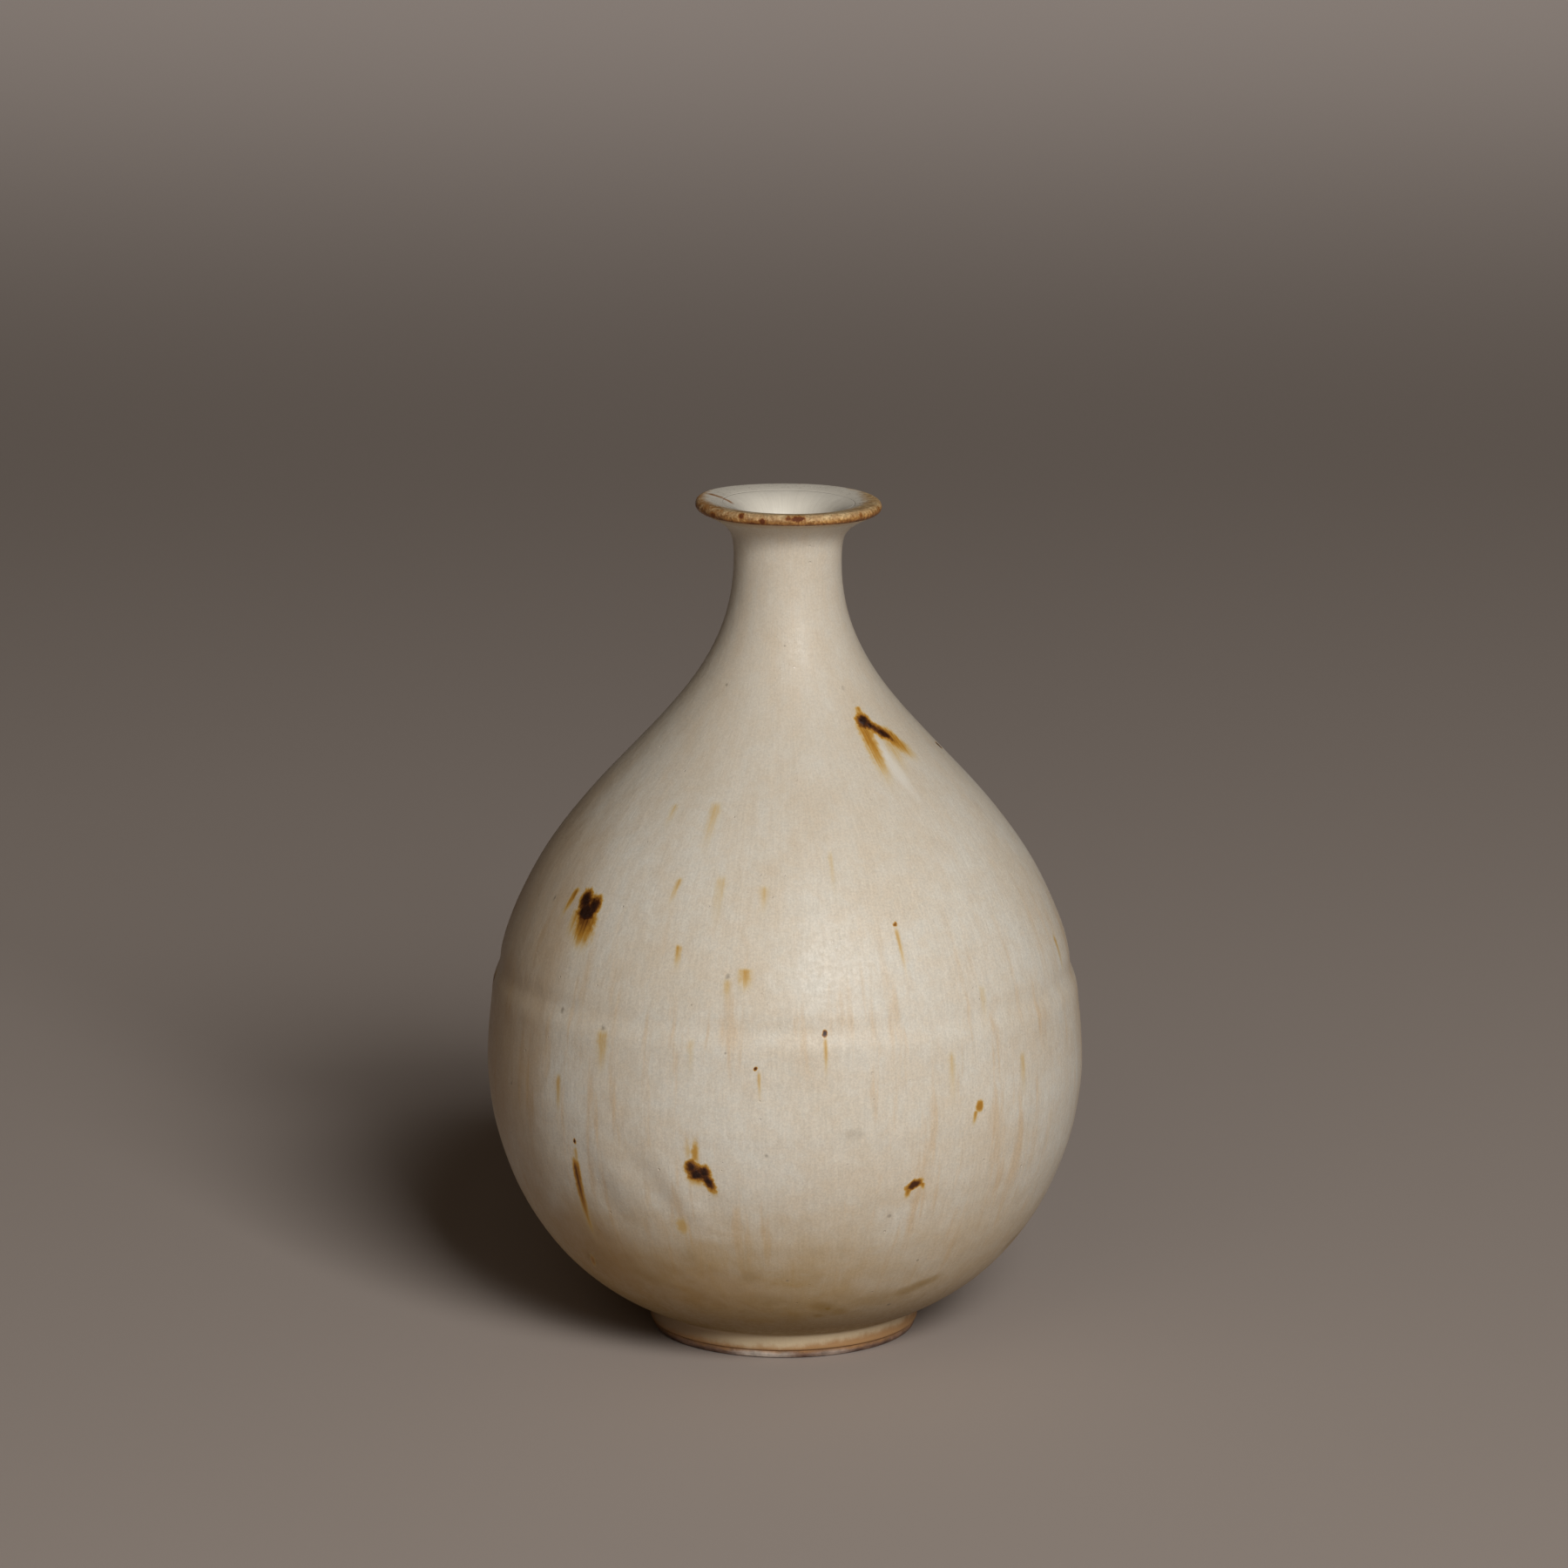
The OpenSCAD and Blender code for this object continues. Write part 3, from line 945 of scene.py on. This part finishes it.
# Patches of the glaze where its crystals catch the light
GLINT_PATCHES = [
    Spot(-2.2, 92.5, 1.6, 3.6, 2.0, 1.0, -20),
    Spot(12.3, 108.7, 1.6, 1.6, 2.5, 0.8),
    Spot(0, 166, 1.6, 9, 3.0, 0.8),
    Spot(140, 120, 2.0, 3.0, 2.5, 0.7),
]

# Dark breaks of the rim wash, placed by turn and by height
RIM_SPOTS = [
    Spot(8.5, 179.5, 1.0, 0.4, 0.5),
    Spot(2.5, 179.6, 0.4, 0.35, 0.4, 0.75),
    Spot(-28, 179.6, 0.5, 0.45, 0.5, 0.8),
    Spot(-13.5, 178.8, 0.6, 0.6, 0.5, 0.85),
    Spot(-52, 178.8, 0.7, 0.5, 0.6, 0.7),
    Spot(-20, 178.2, 1.4, 0.3, 0.5, 0.75),
    Spot(-80, 179.0, 0.5, 0.3, 0.5, 0.6, 30),
    Spot(52, 179.0, 0.3, 0.3, 0.5, 0.6),
    Spot(76, 178.8, 0.4, 0.4, 0.5, 0.5),
    Spot(120, 179.0, 0.7, 0.25, 0.5, 0.75),
    Spot(-130, 178.8, 0.5, 0.3, 0.5, 0.7),
    Spot(170, 179.2, 0.4, 0.25, 0.5, 0.7),
]

# Wide warm clouds, partly where the glaze is thin over the clay and partly painted shade on the
# shaded left of the pot
TAN_AND_SHADE_CLOUDS = [
    Spot(-76, 108, 7, 14, 8, 0.42),
    Spot(-75, 76, 8, 16, 9, 0.5),
    Spot(-62, 86, 6, 26, 8, 0.42),
    Spot(-84, 90, 7, 30, 10, 0.42),
    Spot(-48, 34, 8, 7, 9, 0.5),
    Spot(-22, 28, 9, 4, 7, 0.3),
    Spot(88, 74, 6, 18, 9, 0.24),
    Spot(120, 66, 9, 18, 10, 0.26),
    Spot(-140, 80, 10, 16, 10, 0.26),
]

# The pale pool of glaze between the streaks of the spot high on the right
PALE_SPOT = Spot(45.4, 146.2, 0.9, 4.2, 1.6, 0.55, -8)

# Pale ash on the bare clay of the foot, placed by turn and by height
ASH_PATCHES = [
    Spot(-9, 0.9, 2.6, 0.6, 1.6, 0.9),
    Spot(22, 0.7, 1.4, 0.3, 1.2, 0.45),
    Spot(118, 0.9, 3.0, 0.7, 1.8, 0.6),
    Spot(-132, 0.8, 2.6, 0.6, 1.6, 0.6),
]

# Colours
CREAM = rgb(0.685, 0.655, 0.585)
OATMEAL = rgb(0.62, 0.55, 0.445)
TAN_RUN = rgb(0.60, 0.405, 0.21)
LOW_TAN_AND_SHADE = rgb(0.43, 0.265, 0.075)
LOW_OLIVE_AND_CREASE_SHADE = rgb(0.22, 0.135, 0.035)
FOOT_CREAM = rgb(0.72, 0.58, 0.385)
NECK_TAN = rgb(0.50, 0.425, 0.33)
WARM_CLOUD_AND_SHADE = rgb(0.42, 0.245, 0.085)
OCHRE_CLOUD = rgb(0.29, 0.165, 0.022)
# painted shade for the left of the foot, away from the key light
FOOT_PAINTED_SHADE = rgb(0.24, 0.12, 0.045)
POOL_WHITE = rgb(0.76, 0.73, 0.665)
GREY_STAIN = rgb(0.17, 0.14, 0.10)
GLAZE_EDGE = rgb(0.42, 0.22, 0.085)
IRON_STOPS = [
    (0.0, rgb(0.66, 0.56, 0.36)),
    (0.2, rgb(0.58, 0.385, 0.12)),
    (0.4, rgb(0.46, 0.22, 0.03)),
    (0.6, rgb(0.22, 0.085, 0.013)),
    (0.8, rgb(0.075, 0.022, 0.005)),
    (1.0, rgb(0.026, 0.009, 0.005)),
]
RIM_STOPS = [
    (0.0, rgb(0.13, 0.048, 0.014)),
    (0.2, rgb(0.36, 0.16, 0.045)),
    (0.42, rgb(0.56, 0.31, 0.10)),
    (0.68, rgb(0.67, 0.45, 0.215)),
    (1.0, rgb(0.57, 0.425, 0.24)),
]
RIM_GOLD = rgb(0.50, 0.345, 0.175)
RIM_RUST = rgb(0.33, 0.135, 0.03)
RIM_BROWN = rgb(0.17, 0.06, 0.014)
RIM_DARK = rgb(0.13, 0.03, 0.004)
LINING_CREAM = rgb(0.70, 0.655, 0.57)
CLAY_BUFF = rgb(0.30, 0.175, 0.115)
CLAY_BROWN = rgb(0.11, 0.058, 0.043)
CLAY_ASH = rgb(0.56, 0.49, 0.43)
GROG_DARK = rgb(0.05, 0.03, 0.022)
SLIP_BUFF = rgb(0.42, 0.32, 0.25)

# How strongly the glazes shine
GLAZE_SHEEN = 0.34
RIM_SHEEN = 0.36


def new_finish(name):
    """A material with an empty principled shader. Returns the material, its bench and shader."""
    finish = bpy.data.materials.new(name)
    finish.use_nodes = True
    bench = Bench(finish.node_tree)
    shader = finish.node_tree.nodes["Principled BSDF"]
    return finish, bench, shader


def dress(bench, shader, color, rough, relief):
    """Give a shader its colour, its roughness and a relief in millimetres."""
    bench.plug(shader.inputs["Base Color"], color)
    bench.plug(shader.inputs["Roughness"], rough)
    bump = bench.add("ShaderNodeBump")
    bench.feed(bump, Height=relief, Strength=1.0, Distance=MM)
    bench.plug(shader.inputs["Normal"], bump.outputs[0])


def spot_at(bench, spot, turn, run, radius, ragged):
    """Outputs of the spot group for one spot."""
    return bench.group(SPOT, Turn=turn, Run=run, Radius=radius, Ragged=ragged,
                       At_Turn=spot.turn, At_Run=spot.run, Half_Width=spot.half_width,
                       Half_Length=spot.half_length, Slant=spot.slant, Edge=spot.edge)


def trail_at(bench, trail, turn, run, radius, ragged):
    """Outputs of the trail group for one trail."""
    return bench.group(TRAIL, Turn=turn, Run=run, Radius=radius, Ragged=ragged,
                       At_Turn=trail.turn, Top=trail.top, Half_Width=trail.half_width,
                       Length=trail.length, Drift=trail.drift)


def strongest(bench, marks, at, place):
    """The strongest of several marks at each point."""
    total = None
    for mark in marks:
        stain = bench.times(at(bench, mark, *place)["Stain"], mark.strength)
        total = stain if total is None else bench.most(total, stain)
    return total


def melted(bench, spots, place):
    """Distance from the common edge of spots that have melted into each other."""
    total = None
    for spot in spots:
        distance = spot_at(bench, spot, *place)["Distance"]
        total = distance if total is None else bench.math("SMOOTH_MIN", total, distance, 0.7)
    return total


def outer_glaze_finish():
    """Satin oatmeal glaze with iron spots, streaks and a darker foot, with painted shade low on
    the bowl, in the crease and on the left.
    """
    finish, b, shader = new_finish("glaze_oatmeal_satin")
    place = b.group(PLACE)
    point, flow, height = place["Point"], place["Flow"], place["Height"]
    attribute = b.add("ShaderNodeAttribute", attribute_name="run")
    run = attribute.outputs["Fac"]
    ragged = b.noise(point, 0.9, 3.0, 0.6)

    cloud = cloud_of(b, point, 24.0, 0.2)
    color = b.mix(b.times(cloud, 0.6), CREAM, OATMEAL)
    warm = cloud_of(b, flow, 13.0, 0.2)
    color = b.mix(b.times(warm, 0.16), color, TAN_RUN)
    broad = streak_of(b, flow, 3.4, 24.0, 3.0)
    lower_wall = b.times(b.fade(height, 108.0, 74.0, 0.12, 1.0), b.fade(height, 12.0, 34.0))
    tan_amount = b.times(b.fade(broad, 0.53, 0.72), lower_wall)
    color = b.mix(b.times(tan_amount, 0.44), color, TAN_RUN)
    fine = streak_of(b, flow, 0.6, 5.0, 11.0)
    color = b.tint(0.04, color, fine, 0.3, 0.7)
    blotch = cloud_of(b, point, 2.6, 0.16)
    color = b.mix(b.times(blotch, 0.13), color, TAN_RUN)
    color = b.tint(0.09, color, b.noise(point, 2.2, 3.0, 0.75), 0.3, 0.7)
    color = b.mix(b.fade(height, 98.0, 140.0, 0.0, 0.3), color, NECK_TAN)

    # Browner towards the bottom of the bowl and less so on the lit right: partly the glaze's own
    # colour, partly painted shade
    low_cloud = cloud_of(b, point, 9.0, 0.2)
    low = b.times_plus(b.minus(low_cloud, 0.5), 0.24, b.fade(height, 52.0, 13.0, 0.0, 0.82))
    low = b.times(low, b.fade(place["Turn"], 0.0, 28.0, 1.0, 0.62), clamp=True)
    color = b.mix(b.times(low, b.fade(height, 62.0, 30.0)), color, LOW_TAN_AND_SHADE)
    # Olive clouds low on the bowl, and the crease above the foot darkened: a browner glaze there
    # with painted shade over it
    olive = b.times(cloud_of(b, point, 4.0, 0.1), b.fade(height, 22.0, 12.0))
    crease = b.times(b.fade(height, 20.0, 6.0), b.fade(height, 4.6, 5.6))
    olive_and_crease_shade = b.most(b.times(olive, 0.45), b.times(crease, 0.9))
    color = b.mix(olive_and_crease_shade, color, LOW_OLIVE_AND_CREASE_SHADE)
    color = b.mix(b.fade(height, 5.9, 4.7), color, FOOT_CREAM)
    # Painted shade: the glazed foot darkened on its left, the side away from the key light
    left_darkening = b.times(b.fade(height, 7.0, 4.5), b.fade(place["Turn"], -12.0, -48.0, 0.0, 0.6))
    color = b.mix(left_darkening, color, FOOT_PAINTED_SHADE)
    color = b.mix(b.fade(height, 176.3, 177.8, 0.0, 0.7), color, RIM_GOLD)

    spot_place = (place["Turn"], run, place["Radius"], ragged)
    # Warm clouds: partly thin glaze, partly painted shade on the shaded left
    color = b.mix(strongest(b, TAN_AND_SHADE_CLOUDS, spot_at, spot_place), color, WARM_CLOUD_AND_SHADE)
    pale = spot_at(b, PALE_SPOT, *spot_place)["Stain"]
    color = b.mix(b.times(pale, PALE_SPOT.strength), color, POOL_WHITE)
    grey = strongest(b, GREY_SPOTS, spot_at, spot_place)
    specks = grains_of(b, point, 6.5, 0.06, 0.3)
    grey = b.most(grey, b.times(specks, 0.5))
    color = b.mix(grey, color, GREY_STAIN)

    olive_spots = strongest(b, OLIVE_SPOTS, spot_at, spot_place)
    color = b.mix(olive_spots, color, OCHRE_CLOUD)

    distance = melted(b, IRON_SPOTS, spot_place)
    uneven = b.times_plus(b.minus(ragged, 0.5), 1.5, distance)
    cores = b.fade(uneven, 1.4, -1.05)
    small = strongest(b, OCHRE_SPOTS, spot_at, spot_place)
    combed = b.fade(streak_of(b, flow, 0.8, 9.0, 5.0), 0.25, 0.7, 0.75, 1.1)
    trails = b.times(strongest(b, IRON_TRAILS, trail_at, spot_place), combed)
    iron = b.most(b.times_plus(trails, 0.7, cores), b.most(small, trails))
    color = b.mix(b.fade(iron, 0.0, 0.35), color, b.ramp(iron, IRON_STOPS))

    lap = b.times_plus(b.noise(point, 0.3, 4.0, 0.7), -2.4, height)
    lap = b.times_plus(b.noise(point, 0.05, 2.0), -2.4, lap)
    lap = b.plus(lap, b.fade(place["Turn"], 0.0, 40.0, 0.0, -0.7))
    edge = b.fade(lap, 1.4, -0.3)
    color = b.mix(b.times(edge, 0.9), color, GLAZE_EDGE)
    shader.inputs["Specular IOR Level"].default_value = GLAZE_SHEEN

    skin = b.group(GLAZE_SKIN, Point=point, Flow=flow, Pinholes=0.14)
    rough = b.fade(skin["Gloss"], 0.0, 1.0, 0.40, 0.54)
    rough = b.times_plus(cores, -0.14, rough)
    patch = strongest(b, GLINT_PATCHES, spot_at, spot_place)
    facets = grains_of(b, point, 0.9, 0.33, 0.45)
    facets = b.times(facets, b.times_plus(patch, 0.85, 0.08))
    rough = b.times_plus(facets, -0.3, rough)
    rough = b.times_plus(edge, 0.15, rough)
    relief = b.times_plus(b.fade(cores, 0.5, 1.0), 0.1, skin["Relief"])
    relief = b.times_plus(facets, 0.05, relief)
    crust = b.times(b.noise(point, 3.2, 3.0, 0.7), b.times(cores, 0.2))
    dress(b, shader, color, rough, b.plus(relief, crust))
    return finish


def rim_wash_finish():
    """Iron wash over the lip, broken to rust and dark brown along its edge."""
    finish, b, shader = new_finish("iron_wash_mottled")
    place = b.group(PLACE)
    point, height, radius = place["Point"], place["Height"], place["Radius"]
    wash = b.group(RIM_FADE, Point=point, Turn=place["Turn"], Radius=radius)["Wash"]
    cloud = cloud_of(b, point, 2.6, 0.1)
    patch = cloud_of(b, b.vector("ADD", point, (17.0, 5.0, 9.0)), 1.3, 0.07)
    fine = b.noise(point, 1.6, 4.0, 0.7)
    level = b.times_plus(b.minus(fine, 0.5), 1.6, height)
    fired = b.ramp(b.fade(level, 177.6, 180.2), RIM_STOPS)
    fired = b.tint(0.3, fired, fine, 0.35, 0.65)
    color = b.mix(wash, LINING_CREAM, fired)
    left_side = b.fade(place["Turn"], 10.0, -70.0, 0.45, 1.0)
    rust = b.times(b.times(cloud, wash), left_side)
    color = b.mix(b.times(rust, 0.85), color, RIM_RUST)
    # The wash darker and rustier towards the left
    left_darkening = b.times(b.fade(place["Turn"], -15.0, -65.0, 0.0, 0.42), wash)
    color = b.mix(left_darkening, color, RIM_RUST)
    low = b.fade(level, 180.2, 178.9)
    broken = b.times(b.times(patch, low), wash)
    color = b.mix(b.times(broken, b.times(left_side, 0.85)), color, RIM_BROWN)
    ragged = b.noise(point, 2.0, 3.0, 0.6)
    dark = strongest(b, RIM_SPOTS, spot_at, (place["Turn"], height, radius, ragged))
    on_face = b.fade(radius, 18.1, 18.6)
    dark = b.times(dark, on_face)
    color = b.mix(b.fade(dark, 0.0, 0.45), color, RIM_RUST)
    color = b.mix(b.fade(dark, 0.35, 0.85), color, RIM_DARK)
    line = b.group(RIM_LINE, Point=point, Turn=place["Turn"], Radius=radius)["Line"]
    color = b.mix(line, color, RIM_RUST)
    skin = b.group(GLAZE_SKIN, Point=point, Flow=place["Flow"], Pinholes=0.25)
    shader.inputs["Specular IOR Level"].default_value = RIM_SHEEN
    rough = b.times_plus(dark, 0.35, b.fade(skin["Gloss"], 0.0, 1.0, 0.26, 0.42))
    relief = b.times_plus(fine, b.times(wash, 0.3), skin["Relief"])
    dress(b, shader, color, rough, relief)
    return finish


def lining_finish():
    """Clean, paler glaze inside the mouth, throat and cavity."""
    finish, b, shader = new_finish("glaze_lining_cream")
    place = b.group(PLACE)
    point, flow = place["Point"], place["Flow"]
    cloud = cloud_of(b, point, 6.0, 0.25)
    color = b.mix(b.times(cloud, 0.3), LINING_CREAM, CREAM)
    fine = streak_of(b, flow, 1.2, 6.0, 2.0)
    color = b.tint(0.04, color, fine, 0.3, 0.7)
    wash = b.group(RIM_FADE, Point=point, Turn=place["Turn"], Radius=place["Radius"])["Wash"]
    color = b.mix(wash, color, RIM_GOLD)
    line = b.group(RIM_LINE, Point=point, Turn=place["Turn"], Radius=place["Radius"])["Line"]
    color = b.mix(line, color, RIM_RUST)
    skin = b.group(GLAZE_SKIN, Point=point, Flow=flow, Pinholes=0.08)
    dress(b, shader, color, b.fade(skin["Gloss"], 0.0, 1.0, 0.40, 0.52), skin["Relief"])
    return finish


def bare_clay_finish(name, ground):
    """Fired stoneware body: buff and brown flashing, grog and turning lines."""
    finish, b, shader = new_finish(name)
    place = b.group(PLACE)
    point = place["Point"]
    clay_grain = b.group(CLAY_GRAIN, Point=point, Radius=place["Radius"], Height=place["Height"])
    flash = cloud_of(b, point, 6.0, 0.2)
    color = b.mix(flash, ground, CLAY_BROWN)
    ragged = b.noise(point, 0.5, 4.0, 0.7)
    place_on_foot = (place["Turn"], place["Height"], place["Radius"], ragged)
    ash = strongest(b, ASH_PATCHES, spot_at, place_on_foot)
    color = b.mix(ash, color, CLAY_ASH)
    flame = b.fade(b.times_plus(flash, 0.7, place["Height"]), 1.2, 2.2)
    below = b.fade(place["Height"], 2.6, 2.2)
    color = b.mix(b.times(b.times(flame, below), 0.7), color, GLAZE_EDGE)
    color = b.tint(0.25, color, clay_grain["Tone"], 0.3, 0.7)
    color = b.mix(b.times(clay_grain["Grog"], 0.75), color, GROG_DARK)
    rough = b.fade(clay_grain["Tone"], 0.3, 0.7, 0.72, 0.9)
    dress(b, shader, color, rough, clay_grain["Relief"])
    return finish


# -------------------------------------------------------------------------------- the pieces

def build_pot():
    """The nine pieces of the pot, each in its own finish."""
    glaze_finish = outer_glaze_finish()
    wash_finish = rim_wash_finish()
    inner_finish = lining_finish()
    clay_finish = bare_clay_finish("clay_bare", CLAY_BUFF)
    slip_finish = bare_clay_finish("clay_slip", SLIP_BUFF)

    put_piece("foot_ring_turned", "foot_ring", "bare_clay", clay_finish, foot_outline())
    put_piece("bowl_thrown", "lower_bowl", "bare_clay", clay_finish, bowl_outline(),
              is_ring=False)
    for name, node, low, high, slot, finish in (
            ("seam_slip_ring", "seam_slip", SLIP_BOTTOM, SLIP_TOP, "slip", slip_finish),
            ("shoulder_thrown", "shoulder", SLIP_TOP, NECK_JOINT, "bare_clay", clay_finish),
            ("neck_thrown", "neck", NECK_JOINT, LIP_JOINT, "bare_clay", clay_finish)):
        put_piece(name, node, slot, finish, wall_section(low, high))
    put_piece("lip_folded", "lip", "bare_clay", clay_finish, lip_outline())

    # The marks of the glaze are placed by their length up its face from the crease of the foot
    toe = [[FOOT_RADIUS - GLAZE, GLAZE_LINE]]
    face = np.vstack([toe, skin_outside])
    outline = coat_outline(face, clay_outside)
    crease_index = 1 + int(np.argmin(abs(skin_outside[:, 1] - FOOT_HEIGHT)))
    runs = np.zeros(len(outline))
    runs[:len(face)] = lengths_from(face, crease_index)
    put_piece("glaze_outside", "outer_glaze", "oatmeal_glaze", glaze_finish, outline, runs=runs)
    put_piece("rim_iron_wash", "rim_wash", "iron_wash", wash_finish,
              np.vstack([skin_rim, clay_rim[::-1]]))
    put_piece("glaze_inside", "inner_glaze", "lining_glaze", inner_finish,
              np.vstack([clay_inside, skin_inside]), is_ring=False)


# --------------------------------------------------------------------- floor, light and camera

POT_MIDDLE = TOTAL_HEIGHT / 2 * MM
FLOOR_SIZE = 40
FLOOR_TONE = rgb(0.41, 0.35, 0.315)


def build_floor():
    """A plain floor under the pot."""
    half = FLOOR_SIZE / 2
    mesh = bpy.data.meshes.new("floor")
    mesh.from_pydata([(-half, -half, 0), (half, -half, 0), (half, half, 0), (-half, half, 0)],
                     [], [(0, 1, 2, 3)])
    finish, _, shader = new_finish("floor_paper")
    shader.inputs["Base Color"].default_value = FLOOR_TONE
    shader.inputs["Roughness"].default_value = 0.9
    mesh.materials.append(finish)
    floor = bpy.data.objects.new("floor", mesh)
    bpy.context.scene.collection.objects.link(floor)


def aim(obj, target):
    """Turn an object so that its -Z axis points at a place."""
    direction = Vector(target) - obj.location
    obj.rotation_euler = direction.to_track_quat("-Z", "Y").to_euler()


def area_light(name, size, power, location, target):
    """A square soft light that stands at one place and is aimed at another."""
    light = bpy.data.lights.new(name, "AREA")
    light.size = size
    light.energy = power
    lamp = bpy.data.objects.new(name, light)
    lamp.location = location
    aim(lamp, target)
    bpy.context.scene.collection.objects.link(lamp)
    return light


def soft_light(name, turn, elevation, distance, size, power, color):
    """A soft light on the pot, placed by its turn and elevation as seen from it."""
    level = distance * np.cos(radians(elevation))
    location = (level * np.sin(radians(turn)), -level * np.cos(radians(turn)),
                distance * np.sin(radians(elevation)) + POT_MIDDLE)
    area_light(name, size, power, location, (0, 0, POT_MIDDLE)).color = color


BACKDROP_SIZE = 1.6
BACKDROP_POWER = 26
BACKDROP_SPREAD = 120
BACKDROP_LOCATION = (0.2, 1.7, 2.4)
BACKDROP_TARGET = (0, 4.6, 0)
ROOM_GLOW = rgb(0.13, 0.08, 0.04)
ROOM_STRENGTH = 0.2


def build_light():
    """A key and a fill on the pot, a light on the floor behind it, and a dim warm room."""
    soft_light("key", turn=21, elevation=31, distance=3.0, size=1.1, power=74,
               color=(1.0, 0.985, 0.955))
    soft_light("fill", turn=-15, elevation=30, distance=2.5, size=1.2, power=3.5,
               color=(1.0, 0.93, 0.82))
    backdrop = area_light("backdrop", BACKDROP_SIZE, BACKDROP_POWER, BACKDROP_LOCATION,
                          BACKDROP_TARGET)
    backdrop.spread = radians(BACKDROP_SPREAD)
    world = bpy.data.worlds.new("studio")
    world.use_nodes = True
    background = world.node_tree.nodes["Background"]
    background.inputs["Color"].default_value = ROOM_GLOW
    background.inputs["Strength"].default_value = ROOM_STRENGTH
    bpy.context.scene.world = world
    bpy.context.scene.view_settings.view_transform = "Standard"


CAMERA_DISTANCE = 1.7103
CAMERA_HEIGHT = 0.5093
CAMERA_DOWN = 12.87
LENS = 190
SENSOR = 36


def build_camera():
    """A long lens in front of the pot, looking a little down on it."""
    data = bpy.data.cameras.new("camera")
    data.lens = LENS
    data.sensor_width = SENSOR
    data.clip_end = 60
    camera = bpy.data.objects.new("camera", data)
    camera.location = (0, -CAMERA_DISTANCE, CAMERA_HEIGHT)
    camera.rotation_euler = (radians(90 - CAMERA_DOWN), 0, 0)
    bpy.context.scene.collection.objects.link(camera)
    bpy.context.scene.camera = camera


build_pot()
build_floor()
build_light()
build_camera()
